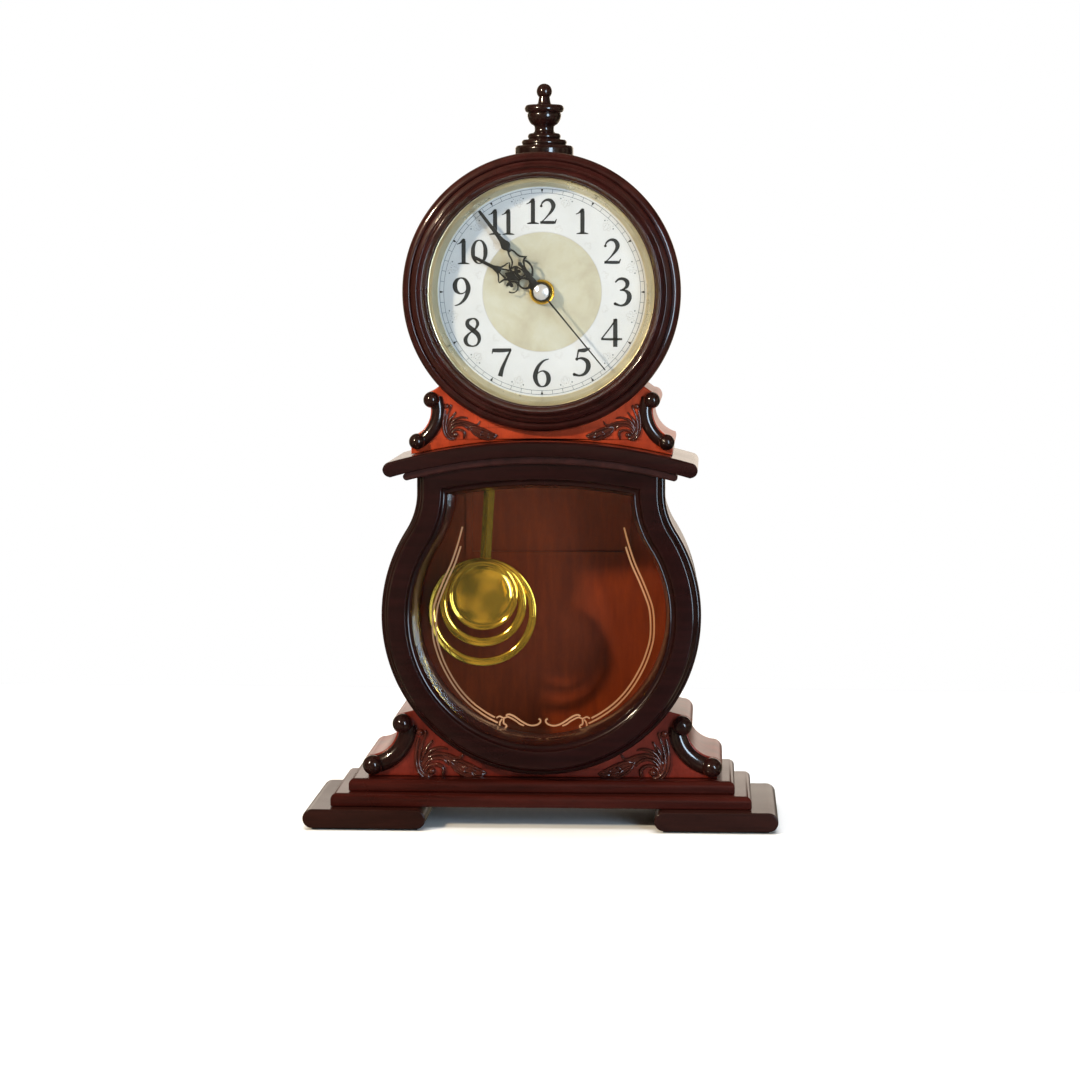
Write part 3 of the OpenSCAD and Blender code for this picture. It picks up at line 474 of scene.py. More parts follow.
# Scrolls: upper and lower ball (u, d), cove centre (c), bend radius, ball radius, half the tube's
# width, the spandrel's face, and where the tube's arc begins and ends (a)
LOW = dict(u=(79.6, 57.1), d=(96.7, 33.2), c=(99, 55.1), bend=22.2, ball=5.8, half=5.9, face=-22.5,
           a=(184, 256))
TOP = dict(u=(62.1, 242), d=(70.3, 218.4), c=(78.8, 236), bend=20.4, ball=4.6, half=4.2, face=-28,
           a=(166, 238))


def side_outline(s, foot_x, foot_z, low_a, up_a, cove_a, top):
    """One side of a spandrel from its foot up, round both noses and the cove."""
    return ([(foot_x, foot_z)] + arc(s["d"], s["ball"], low_a[0], low_a[1], 14)
            + arc(s["c"], s["bend"] - s["half"], cove_a[0], cove_a[1], 26)
            + arc(s["u"], s["ball"], up_a[0], up_a[1], 16) + [top])


def clip(poly, keep):
    """The part of an outline with x > keep, or with x < keep if keep is negative."""
    out, n = [], len(poly)
    inside = (lambda p: p[0] >= keep) if keep > 0 else (lambda p: p[0] <= keep)
    for i in range(n):
        a, b = poly[i], poly[(i + 1) % n]
        if inside(a):
            out.append(a)
        if inside(a) != inside(b):
            t = (keep - a[0]) / (b[0] - a[0])
            out.append((keep, a[1] + (b[1] - a[1]) * t))
    return out


right = side_outline(LOW, 99.6, 26.6, (-60, 84), (-55, 90), (264, 189.7), (72.4, 64.8))
belly_cut = arc((0, BELLY_Z), 88.4, -38, -142, 60)
outline = right + belly_cut + mirrored(right)
slab(Shape(), outline, LOW["face"], BACK_Y, 0.9, 0.6).make(
    "lower spandrel", P["lower_spandrel"], "case", replaces=["lower_spandrel"],
    slot="spandrel_wood")

TOP_FOOT_X, SEAT_R = 73.8, 312.8    # half width of its foot, radius of the arch it stands on
right = side_outline(TOP, TOP_FOOT_X, 211.1, (-40.5, 25.8), (-82.9, 90), (254.4, 175), (57.3, 250))
drum_cut = arc((0, DIAL_Z), 75.7, -42.5, -137.5, 50)
arch_x = [TOP_FOOT_X * (1 - 2 * i / 40) for i in range(1, 40)]
arch_line = [(-x, ARCH_Z + sqrt(SEAT_R ** 2 - x * x)) for x in arch_x]
outline = right + drum_cut + mirrored(right) + arch_line
shape = slab(Shape(), outline, TOP["face"], WELL_Y, 0.7)
for keep in (WELL_X, -WELL_X):
    slab(shape, clip(outline, keep), WELL_Y, BACK_Y, 0, 0.6)
shape.stand("upper spandrel", "spandrel_wood")


# ---------- belly ----------

BELLY_R, FLARE_R, NECK_X = 90.2, 40, 69.8     # round belly, hollow above it, half width of the neck


def belly_outline(inset, top_r, n_side=90, n_top=44):
    """The belly, flare and neck drawn in by inset and closed above by an arch of radius top_r,
    counter-clockwise from the bottom."""
    reach, flare_x = BELLY_R + FLARE_R, NECK_X + FLARE_R
    flare = (flare_x, BELLY_Z + sqrt(reach ** 2 - flare_x ** 2))
    meet = degrees(atan2(flare[1] - BELLY_Z, flare[0]))
    side = arc((0, BELLY_Z), BELLY_R - inset, -90, meet, 150)
    side += arc(flare, FLARE_R + inset, meet + 180, 180, 60)[1:]
    side += [(NECK_X - inset, flare[1] + 0.5 * i) for i in range(1, 60)]
    cut = []
    for a, b in zip(side, side[1:]):
        cut.append(a)
        da, db = (hypot(p[0], p[1] - ARCH_Z) - top_r for p in (a, b))
        if da < 0 <= db:
            t = da / (da - db)
            cut.append((a[0] + (b[0] - a[0]) * t, a[1] + (b[1] - a[1]) * t))
            break
    lengths = [0]
    for a, b in zip(cut, cut[1:]):
        lengths.append(lengths[-1] + hypot(b[0] - a[0], b[1] - a[1]))
    out, k = [], 0
    for i in range(n_side + 1):
        want = lengths[-1] * i / n_side
        while k < len(cut) - 2 and lengths[k + 1] < want:
            k += 1
        t = (want - lengths[k]) / ((lengths[k + 1] - lengths[k]) or 1)
        a, b = cut[k], cut[k + 1]
        out.append((a[0] + (b[0] - a[0]) * t, a[1] + (b[1] - a[1]) * t))
    corner = degrees(atan2(out[-1][1] - ARCH_Z, out[-1][0]))
    top = arc((0, ARCH_Z), top_r, corner, 180 - corner, n_top)[1:-1]
    return out + top + [(-x, z) for x, z in out[:0:-1]]


def front_ring(inset, y, top_r):
    return [(x, y, z) for x, z in belly_outline(inset, top_r)]


OUT_R, WINDOW_R = 299.9, 305.4
profile = [(0, -30), (0, -36.4), (0.3, -37.4), (1, -38), (1.7, -38.1), (1.9, -38.6), (2, -39.6),
           (2.4, -40.6), (3, -41.4), (3.4, -41.7), (3.7, -42), (3.9, -43), (4.4, -43.8), (5.2, -44)]
inside = [(13.2, -44), (13.9, -43.8), (14.3, -43.1), (14.5, -42.2), (15.2, -41.6), (16.3, -41.3),
          (17, -41.5), (17.4, -41.2), (17.8, -39.8), (18.5, -36.6), (19.2, -32.4), (19.6, -29.4),
          (19.9, -27.6), (19.9, -12.1)]
rings = [front_ring(i, y, OUT_R) for i, y in profile]
rings += [front_ring(i, y, WINDOW_R - i) for i, y in inside]
rings += [front_ring(16.5, -12.1, 288.9), front_ring(16.5, -30, 288.9)]
Shape().rings(rings, round_trip=True).stand("front frame", "frame_wood", angle=40)


def open_wall(shape, outer, inner, y0, y1):
    """The case's U-shaped wall, open at the top."""
    def side(inset):
        corner = 100
        pts = belly_outline(inset, OUT_R, corner, 2)
        return pts[corner + 2:] + pts[:corner + 1]
    shape.rings([[(p[0], y0, p[1]), (q[0], y0, q[1]), (q[0], y1, q[1]), (p[0], y1, p[1])]
                 for p, q in zip(side(outer), side(inner))])


REBATE_Y = 45       # the case wall is thinner behind this, for the back panel
shape = Shape()
open_wall(shape, 2, 8, -30, REBATE_Y)
open_wall(shape, 2, 4, REBATE_Y, BACK_Y)
shape.stand("belly case", "case_wood")

ETCHING_Y = -12.25  # just in front of the glass


def copper(points, w):
    """A line of the etching and its mirror image."""
    for s in (1, -1):
        flat_ribbon(etching, [(s * x, z, w) for x, z in points], ETCHING_Y, n=12)


def beside(points, d):
    """The path moved sideways by d."""
    path = spline(points, 12)
    return [(x + nx * d, z + nz * d) for (x, z), (nx, nz) in zip(path, normals(path))]


etching = Shape()
line = [(-45.1, 168.5), (-48, 158), (-51.4, 148), (-55.6, 138.6), (-59.4, 129.2), (-61.5, 122.6),
        (-62.3, 115), (-62.1, 106), (-60.4, 98.5), (-57.2, 89.8), (-52.4, 80.8), (-47, 73.2),
        (-40.8, 66.8), (-33.8, 61.6), (-28.2, 58.4), (-25.6, 57.1)]
for s in (1, -1):
    for path in (beside(line, -1), beside(line[1:-1], 1)):
        flat_ribbon(etching, [(s * x, z, 0.95) for x, z in path], ETCHING_Y, smooth=False)
copper([(-21.4, 60.3), (-19.7, 61.1), (-17.4, 60.4), (-15.1, 59), (-12.2, 57), (-9.3, 55.4),
        (-6.4, 54.7), (-3.5, 55.2), (-1.7, 56.6), (-1.6, 58), (-2.6, 58.7)], 0.95)
copper([(-26.8, 59), (-24.9, 59.9), (-22.6, 59), (-20.3, 59.6), (-18, 58.7), (-15.6, 57.3),
        (-13.3, 55.6), (-11, 54.6)], 0.85)
copper([(-22.6, 58.6), (-22.6, 55.9), (-21.3, 55), (-21.1, 53.9), (-22.6, 53), (-24.3, 53.4),
        (-25, 55), (-24.6, 56.9), (-23.5, 58.4)], 0.9)
etching.make("etched copper line", copper_line, "case", slot="brass")


# ---------- cornice ----------

def moulding(shape, r0, r1, half, y0, rows):
    """An arched slab round the well; rows are (part of its thickness, y shift) up its front."""
    end_r = (r1 - r0) / 2
    end_x = half - end_r

    def section(x, back):
        if abs(x) <= end_x:
            a, b = (ARCH_Z + sqrt(r * r - x * x) for r in (r0, r1))
        else:
            mid = ARCH_Z + (sqrt(r0 ** 2 - end_x ** 2) + sqrt(r1 ** 2 - end_x ** 2)) / 2
            h = sqrt(max(0.02, end_r ** 2 - (abs(x) - end_x) ** 2))
            a, b = mid - h, mid + h
        pts = [(x, y0 + dy, a + (b - a) * t) for t, dy in rows]
        return pts + [(x, back, b), (x, back, a)]

    xs = [-end_x - end_r * cos(pi / 2 * i / 10) for i in range(10)]
    xs += [-end_x + (end_x - WELL_X) * i / 8 for i in range(9)]
    shape.rings([section(x, BACK_Y) for x in xs])
    shape.rings([section(-WELL_X + 2 * WELL_X * i / 60, WELL_Y) for i in range(61)])
    shape.rings([section(-x, BACK_Y) for x in xs[::-1]])


soft = [(0, 0.7), (0.04, 0.2), (0.1, 0), (0.84, 0), (0.91, 0.25), (0.97, 0.9), (1, 1.7)]
crisp = [(0, 0.9), (0.08, 0.35), (0.22, 0), (0.96, 0), (1, 0.1)]
for level, wood, size in (("upper", "frame_wood", (304.3, 312.7, 88, -50, soft)),
                          ("lower", "case_wood", (300.1, 304.25, 76.8, -47, crisp))):
    shape = Shape()
    moulding(shape, *size)
    shape.make("cornice " + level + " slab", P[wood], "case", replaces=["cornice_" + level],
               slot=wood, angle=30)


# ---------- head ----------

DRUM_R = 75.5
shape = Shape()
turned(shape, [(69.5, -28), (DRUM_R, -28), (DRUM_R, WELL_Y), (69.5, WELL_Y)])
gap = degrees(asin(WELL_X / DRUM_R))
turned(shape, [(69.5, WELL_Y), (DRUM_R, WELL_Y), (DRUM_R, 49.4), (74.9, BACK_Y), (73.5, BACK_Y),
               (73.5, REBATE_Y), (69.5, REBATE_Y)], start=gap - 90, sweep=360 - 2 * gap)
shape.stand("head drum", "case_wood")

profile = [(66.5, -28), (77.9, -28), (78.2, -28.4)] + arc((73.9, -31.8), 4.3, 0, -82, 12)
profile += [(74.3, -36), (73.6, -35.7), (73.3, -35.2), (73.05, -35.4), (72.95, -37.4), (72.6, -38),
            (71.8, -38.5), (70.6, -39)] + arc((70, -39.9), 0.75, 45, -150, 7)
profile += [(69, -40.2), (68.3, -41), (67.7, -42.1), (67.4, -43)]
profile += arc((66.9, -43.3), 0.65, 0, -130, 6) + [(66.1, -42.9), (65.2, -41.4), (64.4, -40.7),
                                                   (64.2, -40.2), (64.1, -38.8), (63.6, -38.4),
                                                   (63.5, -37.2),
            (66.5, -37.2)]
turned(Shape(), profile, n=220).stand("bezel", "bezel_wood", angle=32)

profile = [(66.2, -28), (66.2, -35.35), (63.6, -35.35), (63.2, -35.2), (62.7, -34.6), (62, -33.6),
           (61.7, -32.9), (61.4, -32.6), (60.6, -29.6), (59.7, -26.8), (59.1, -24.9), (58.9, -24.5),
           (62, -24.5), (64.4, -28)]
turned(Shape(), profile, n=220).stand("dial rim", "rim_gold", angle=25)

profile = [(16.6, 374.2), (16.6, 382.6)] + arc((14.7, 383.2), 1.9, 0, 90, 8)
profile += [(12.9, 385.2), (12.6, 385.4)] + arc((11.3, 386.8), 1.6, -40, 90, 8)
profile += [(9.5, 388.5), (9.2, 388.8)] + arc((7.6, 390.2), 1.8, -40, 80, 8)
profile += [(6.3, 392.3), (5.6, 393), (5.45, 394.4), (5.6, 395.8), (6.3, 396.5), (7.4, 397.1),
            (8.4, 398.3), (9.2, 399.9), (9.6, 401.4), (9.6, 402.9), (9.2, 403.5)]
profile += arc((8.9, 405.8), 2.3, -65, 90, 14)
profile += [(6.6, 408.2), (4.6, 408.4), (3.7, 408.9), (3.45, 410)]
profile += arc((0, 415.6), 4.4, -46, 90, 22)
turned(Shape(), profile, y_axis=False, n=96, closed=False).stand("finial", "gloss_wood", angle=40)


# ---------- dial ----------

turned(Shape(), [(4.1, -24.5), (62, -24.5), (62, -23.5), (4.1, -23.5)], n=200).stand(
    "dial plate", "dial_face")
ring(Shape(), 4.2, 33.6, -24.56, n=160).make("dial centre", parchment, "case", slot="dial_face")

FACE = -24.6        # the print, just in front of the dial plate


def on_dial(r, deg, turn):
    """Places a shape at radius r, deg clockwise from twelve, turned clockwise by turn."""
    a, t = radians(deg), radians(-turn)
    cx, cz = r * sin(a), DIAL_Z + r * cos(a)
    return lambda p: (cx + p[0] * cos(t) - p[1] * sin(t),
                      cz + p[0] * sin(t) + p[1] * cos(t))


ring_line = Shape()
ring(ring_line, 33.45, 33.8, FACE)
ring_line.make("dial centre line", grey_ink, "case")

track = Shape()
ring(track, 55.3, 55.55, FACE)
ring(track, 57.55, 57.85, FACE)
for m in range(60):
    flat_ribbon(track, [(0, -1.15, 0.26), (0, 1.15, 0.26)], FACE, on_dial(56.5, 6 * m, 6 * m), 2,
                False)
track.make("minute track", track_ink, "case")

marks = Shape()
for m in range(0, 60, 5):
    put = on_dial(57, 6 * m, 6 * m)
    disc(marks, 0, 0.1, 0.62, FACE - 0.02, put, 12)
    flat_ribbon(marks, [(0, 0.1, 1), (0, -1.6, 0.1)], FACE - 0.02, put, 2, False)
marks.make("five minute marks", ink, "case")

fleur, dots = Shape(), Shape()
for h in range(12):
    put = on_dial(51.6, 30 * h + 15, 30 * h + 15)
    for s in (-1, 1):
        flat_ribbon(fleur, [(s * x, z, 0.28) for x, z in ((0, -2.7), (0.8, -1.9), (0.75, -0.9),
                                                          (1.9, -1.3), (2.5, -0.2), (1.8, 0.8),
                                                          (1.1, 1), (1.4, 2.1))], FACE, put, 5)
        disc(dots, s * 3.3, 1.6, 0.42, FACE, put, 10)
        disc(dots, s * 2.2, 2.6, 0.22, FACE, put, 8)
        disc(dots, s * 1, -0.2, 0.2, FACE, put, 8)
    disc(dots, 0, 1.4, 0.24, FACE, put, 8)
    put = on_dial(36.4, 30 * h + 15, 30 * h + 15 + 180)
    for s in (-1, 1):
        flat_ribbon(fleur, [(s * x, z, 0.22) for x, z in ((0, -2.3), (0.8, -1.5), (0.7, -0.7),
                                                          (1.8, -0.9), (2.1, 0.2),
                                                          (1.2, 0.9))], FACE, put, 5)
fleur.make("dial ornaments", grey_ink, "case")
dots.make("dial dots", track_ink, "case")

# Figures with thick and thin strokes: strokes of (x, height, width) in parts of a figure's height.
FIGURES = {
    "1": [[(-0.27, 0.8, 0.03), (-0.14, 0.86, 0.06), (0, 0.97, 0.13), (0.07, 1, 0.02)],
          [(0, 0.95, 0.165), (0, 0.5, 0.17), (0, 0.02, 0.165)],
          [(-0.24, 0.012, 0.03), (-0.1, 0.035, 0.07), (0.1, 0.035, 0.07), (0.24, 0.012, 0.03)]],
    "2": [[(-0.27, 0.72, 0.04), (-0.22, 0.86, 0.07), (-0.06, 0.965, 0.1), (0.12, 0.93, 0.15),
           (0.22, 0.76, 0.18), (0.17, 0.56, 0.13), (0, 0.34, 0.07), (-0.16, 0.17, 0.05),
           (-0.3, 0.05, 0.05)],
          [(-0.31, 0.06, 0.1), (0, 0.06, 0.13), (0.27, 0.06, 0.12)],
          [(0.27, 0.02, 0.08), (0.35, 0.2, 0.03)]],
    "3": [[(-0.26, 0.83, 0.05), (-0.14, 0.94, 0.08), (0.02, 0.95, 0.11), (0.15, 0.85, 0.15),
           (0.14, 0.7, 0.12), (0.02, 0.6, 0.05), (-0.1, 0.56, 0.04)],
          [(-0.1, 0.565, 0.04), (0.06, 0.555, 0.08), (0.2, 0.45, 0.15), (0.22, 0.27, 0.17),
           (0.12, 0.1, 0.12), (-0.06, 0.03, 0.07), (-0.26, 0.09, 0.1)]],
    "4": [[(0.16, 0.98, 0.06), (-0.05, 0.68, 0.05), (-0.36, 0.28, 0.05)],
          [(-0.37, 0.27, 0.07), (0, 0.265, 0.085), (0.36, 0.27, 0.07)],
          [(0.12, 0.97, 0.14), (0.12, 0.5, 0.155), (0.12, 0, 0.15)]],
    "5": [[(-0.14, 0.9, 0.09), (0.08, 0.91, 0.14), (0.27, 0.98, 0.04)],
          [(-0.13, 0.92, 0.06), (-0.19, 0.6, 0.045)],
          [(-0.2, 0.6, 0.04), (-0.02, 0.63, 0.09), (0.16, 0.53, 0.15), (0.21, 0.33, 0.17),
           (0.11, 0.12, 0.12), (-0.08, 0.03, 0.07), (-0.28, 0.07, 0.1)]],
    "6": [[(0.24, 0.98, 0.03), (0.05, 0.91, 0.07), (-0.13, 0.72, 0.12), (-0.23, 0.45, 0.16),
           (-0.22, 0.25, 0.15), (-0.12, 0.07, 0.1), (0.02, 0.02, 0.05), (0.16, 0.09, 0.11),
           (0.23, 0.26, 0.16), (0.19, 0.45, 0.14), (0.05, 0.56, 0.06), (-0.1, 0.52, 0.04),
           (-0.2, 0.4, 0.03)]],
    "7": [[(-0.3, 0.9, 0.13), (0, 0.9, 0.14), (0.33, 0.92, 0.1)],
          [(-0.3, 0.95, 0.06), (-0.34, 0.78, 0.03)],
          [(0.32, 0.93, 0.06), (0.16, 0.6, 0.09), (0.02, 0.28, 0.13), (-0.06, 0, 0.17)]],
    "8": [[(0.02, 0.985, 0.05), (-0.15, 0.9, 0.12), (-0.16, 0.74, 0.15), (0.02, 0.58, 0.17),
           (0.19, 0.42, 0.16), (0.24, 0.24, 0.12), (0.16, 0.07, 0.07), (0, 0.02, 0.05),
           (-0.18, 0.08, 0.11), (-0.24, 0.25, 0.14), (-0.15, 0.42, 0.08), (0, 0.54, 0.05),
           (0.13, 0.66, 0.08), (0.19, 0.8, 0.11), (0.13, 0.94, 0.08), (0.02, 0.985, 0.05)]],
}
bowl = [(0, 0.97, 0.05), (-0.15, 0.9, 0.09), (-0.25, 0.7, 0.15), (-0.27, 0.5, 0.17),
        (-0.25, 0.3, 0.15), (-0.15, 0.1, 0.09)]
FIGURES["0"] = [bowl + [(-x, 1 - z, w) for x, z, w in bowl] + bowl[:1]]
FIGURES["9"] = [[(-x, 1 - z, w) for x, z, w in FIGURES["6"][0]]]
# Strokes that end in a round blob, (x, height) and its radius
BLOBS = {"2": [(-0.27, 0.72)], "3": [(-0.26, 0.09)], "5": [(-0.19, 0.6), (-0.28, 0.07)]}
BLOB_R = 0.055
# Where the two figures of a late hour stand about its place
PAIRS = {"10": (-5.2, 3.6), "11": (-3.9, 3.6), "12": (-5.1, 3.3)}
ZERO_WIDTH = 0.94
figures = Shape()
for hour in range(1, 13):
    text = str(hour)
    high = 13.9 if hour in (1, 2, 10, 11, 12) else 16.2
    r = 45 if text in PAIRS else 45.4
    a = radians(30 * hour)
    cx, cz = r * sin(a), DIAL_Z + r * cos(a)
    for ch, dx in zip(text, PAIRS.get(text, [0])):
        wide = high if ch != "0" else high * ZERO_WIDTH
        for stroke in FIGURES[ch]:
            points = [(cx + dx + x * wide, cz + (z - 0.5) * high, w * high) for x, z, w in stroke]
            flat_ribbon(figures, points, FACE - 0.01, n=10)
        for x, z in BLOBS.get(ch, ()):
            disc(figures, cx + dx + x * wide, cz + (z - 0.5) * high, BLOB_R * high, FACE - 0.01)
figures.make("dial figures", ink, "case")


# ---------- hands ----------

HAND_THICK = 0.5
# The strokes' faces lie at slightly different depths, so two that cross don't share a plane.
LAYER_STEP, LAYERS = 0.004, 12


class Hand:
    """A pierced hand at an angle clockwise from twelve, drawn with u along it and v across: strokes
    of (u, v, width) with their mirror images, and spines of (u, width) down the middle."""

    def __init__(self, angle, y0):
        t = radians(angle)
        self.c, self.s, self.shape = cos(t), sin(t), Shape()
        self.y0, self.y1 = y0, y0 + HAND_THICK
        self.layer = 0

    def put(self, p):
        u, v = p
        return (v * self.c + u * self.s, DIAL_Z + u * self.c - v * self.s)

    def stroke(self, points, sides=(1, -1), n=8):
        for side in sides:
            self.layer += 1
            y = self.y0 + LAYER_STEP * (self.layer % LAYERS)
            line = [(u, side * v, w) for u, v, w in points]
            solid_ribbon(self.shape, line, y, self.y1, self.put, n)

    def spine(self, points):
        self.stroke([(u, 0, w) for u, w in points], (1,))

    def hub(self, r0, r1, y1=None):
        y0, y1 = self.y0, y1 or self.y1
        turned(self.shape, [(r0, y1), (r0, y0 + 0.1), (r0 + 0.15, y0), (r1 - 0.2, y0),
                            (r1, y0 + 0.15), (r1, y1)], n=72)

    def make(self, name, body):
        self.shape.stand(name, "hand_black", body, angle=30)


hand = Hand(-62.8, -29)
hand.spine([(43.4, 0.9), (42.6, 1.7), (39, 1.9), (33, 1.9), (30.4, 2.3), (28.4, 3.7), (27.2, 3.4),
            (26.2, 1.9), (25.6, 0.6)])
hand.stroke([(28.2, 1.1, 1.4), (26.6, 2, 1.1), (25.4, 3.6, 0.9), (24.6, 5.2, 0.8),
             (23.3, 6.6, 0.3)])
hand.stroke([(23.4, 6.5, 0.4), (22.9, 5.2, 1), (22.2, 3.9, 1.1), (21, 2.8, 1.3), (19.4, 2.2, 1.6)])
hand.stroke([(26.9, 0.8, 1), (25, 1.5, 0.9), (23.4, 2, 0.9), (21.6, 2.4, 1.1)])
hand.spine([(23.2, 0.3), (21.4, 3), (19.4, 5), (17.2, 3.2), (15.4, 1.7), (13.8, 1.4)])
scroll_ring = [(15.9 + 3.2 * cos(a), 5.1 + 3.2 * sin(a), 0.95 + 0.25 * sin(a / 2))
               for a in [radians(18 - 17.5 * i) for i in range(18)]]
hand.stroke(scroll_ring, n=3)
hand.stroke([(18.8, 5.6, 1), (18.2, 4.4, 1.6), (17.2, 4.2, 2), (16.3, 4.7, 1.9), (15.8, 5.2, 0.9)])
hand.stroke([(19.4, 2.2, 1.6), (18.6, 3, 1.3), (17.4, 2.4, 1), (15.9, 1.7, 1.1), (14.2, 1.4, 1.2)])
hand.stroke([(14.2, 0.6, 1.2), (13.4, 1.9, 1.05), (12, 2.7, 1.05), (10.2, 2.9, 1.05),
             (8.6, 2.2, 1.1), (7.4, 0.9, 1.4)])
hand.spine([(8.4, 1.8), (6.4, 3), (4.4, 3.6)])
hand.hub(2.55, 5)
hand.make("hour hand", "hours_body")

hand = Hand(-37.7, -31.4)
hand.spine([(57, 1), (56.5, 1.7), (50, 1.9), (44, 2.1), (38.5, 2.6), (35.6, 3.7), (33.4, 5.4),
            (31.8, 5), (30.4, 3), (29.4, 2.4), (28.4, 2.2)])
hand.stroke([(29.4, 0.8, 1.2), (27.4, 1.7, 1), (25.2, 2, 1), (23.4, 2.6, 1), (22, 3.9, 0.9),
             (20.7, 6, 0.3)])
hand.stroke([(20.8, 5.9, 0.4), (20.7, 4.6, 0.9), (20.5, 3.4, 1), (19.6, 2.4, 1.2), (18.4, 2, 1.2)])
hand.stroke([(20.2, 2.9, 1.2), (18.8, 3.9, 1.1), (16.9, 4.4, 1.15), (14.9, 4.4, 1.15),
             (13.1, 3.8, 1.15), (11.6, 2.6, 1.2), (10.2, 1.3, 1.5)])
hand.stroke([(19, 2.1, 1), (17.6, 1.4, 0.9), (16.2, 1, 0.9), (14.8, 0.9, 0.9), (13, 1, 1),
             (11.2, 1.2, 1.3)])
hand.spine([(21.2, 0.3), (19.8, 2.4), (18.4, 1.6), (15, 1.2), (12, 1.7), (9, 3), (5, 3.6)])
hand.hub(1.65, 5.2)
hand.make("minute hand", "minutes_body")

hand = Hand(140.5, -33.7)
hand.spine([(0.6, 1), (6, 1), (30, 0.85), (54.6, 0.7), (55, 0.5)])
hand.hub(0.85, 1.5, -32.3)
hand.make("second hand", "seconds_body")

# The cap is cut in twelve facets. Each level is (radius, y, turn in facets).
rings = []
for r, y, turn in ((0.86, -33.36, 0), (4.5, -33.4, 0), (4.5, -33.75, 0), (3.9, -34.1, 0),
                   (2.2, -34.72, 0.5), (0.7, -34.98, 0)):
    rings.append([(r * cos(a), y, DIAL_Z + r * sin(a)) for a in around(12, turn)])
Shape().rings(rings).stand("hand cap", "cap_silver", "seconds_body", angle=3)

profile = [(2.9, -20.5), (4, -20.5), (4, -24.5), (7, -24.5), (7, -26.6), (6.8, -26.9), (6.5, -27.1),
           (6.3, -27.4), (5.9, -27.5), (5.5, -27.4), (5.2, -27), (4.6, -26.8), (3.2, -26.8),
           (2.9, -26.5)]
turned(Shape(), profile, n=96).stand("mounting nut", "brass", angle=30)


# ---------- pendulum ----------

PIVOT = (-27, 264)
LEAN = radians(3.3)


def lean(p):
    """From the hanging pendulum's own frame, with its pivot at the origin, to the row frame."""
    x, y, z = p
    c, s = cos(LEAN), sin(LEAN)
    return (PIVOT[0] + x * c + z * s, y, PIVOT[1] - x * s + z * c)


rod = Shape()
roof = [(-3.1, -1.8), (-3.1, -2.6), (-2.9, -2.8), (-0.15, -4.5), (0.25, -4.52), (0.5, -4.3),
        (2.95, -2.8), (3.1, -2.6), (3.1, -1.8)]
rod.rings([[lean((x, y, z)) for x, y in roof] for z in (-28, -113.75)])
tongue = [(-3.1, -2.6), (3.1, -2.6), (3.1, -1.8), (-3.1, -1.8)]
rod.rings([[lean((x, y, z)) for x, y in tongue] for z in (-112.8, -141.4)])
for s in (-1, 1):
    cheek = [(s * 3.1, -1.8), (s * 3.1, -2.7), (s * 1.6, -3.6), (s * 1.6, -1.8)]
    rod.rings([[lean((x, y, z)) for x, y in cheek] for z in (-23, -28)])
rod.stand("pendulum rod", "brass", "pendulum_body")

rings_of_bob = Shape()
for drop, profile in (
        (145.3, [(31.25, -2.6), (31.25, -3.1), (31, -3.5), (30.5, -3.7), (29.9, -3.72),
                 (29.4, -3.9), (28.6, -4), (27.8, -3.9), (27.1, -3.6), (26.75, -3.2),
                 (26.65, -2.6)]),
        (139.9, [(25.2, -4), (25.2, -4.5), (24.9, -4.95), (24.4, -5.15), (24, -5.12), (23.5, -5.3),
                 (22.7, -5.4), (21.8, -5.3), (21, -5), (20.5, -4.6), (20.2, -4)])):
    cx, _, cz = lean((0, 0, -drop))
    turned(rings_of_bob, profile, cx, cz, n=200)
rings_of_bob.stand("bob rings", "brass", "pendulum_body", angle=40)

angles = [pi / 2 * i / 24 for i in range(1, 24)]
profile = [(0.05, -5.4), (20, -5.4), (20, -6.3), (19.75, -6.85), (19.2, -7.1), (18.6, -7),
           (18, -6.6), (17.5, -6.4)]
profile += [(17.2 * cos(a), -6.35 - 1.85 * sin(a)) for a in angles] + [(0.05, -8.2)]
cx, _, cz = lean((0, 0, -135.4))
turned(Shape(), profile, cx, cz, n=180).stand("bob disc", "brass", "pendulum_body", angle=40)


# ---------- scrolls and carvings ----------

for s, side in ((1, "right"), (-1, "left")):
    for level, k in (("lower", LOW), ("upper", TOP)):
        shape = Shape()
        y = k["face"] - 0.5
        bend = arc(k["c"], k["bend"], k["a"][0] - 6, k["a"][1] + 6, 40)
        path = [(s * x, y + 0.8, z, 0.86 * k["half"]) for x, z in bend]
        tube(shape, path, 0.8, 24, k["face"] + 0.2)
        for x, z in (k["u"], k["d"]):
            ball(shape, s * x, y - 1.6, z, k["ball"])
        shape.stand(side + " " + level + " scroll", "gloss_wood", angle=50)

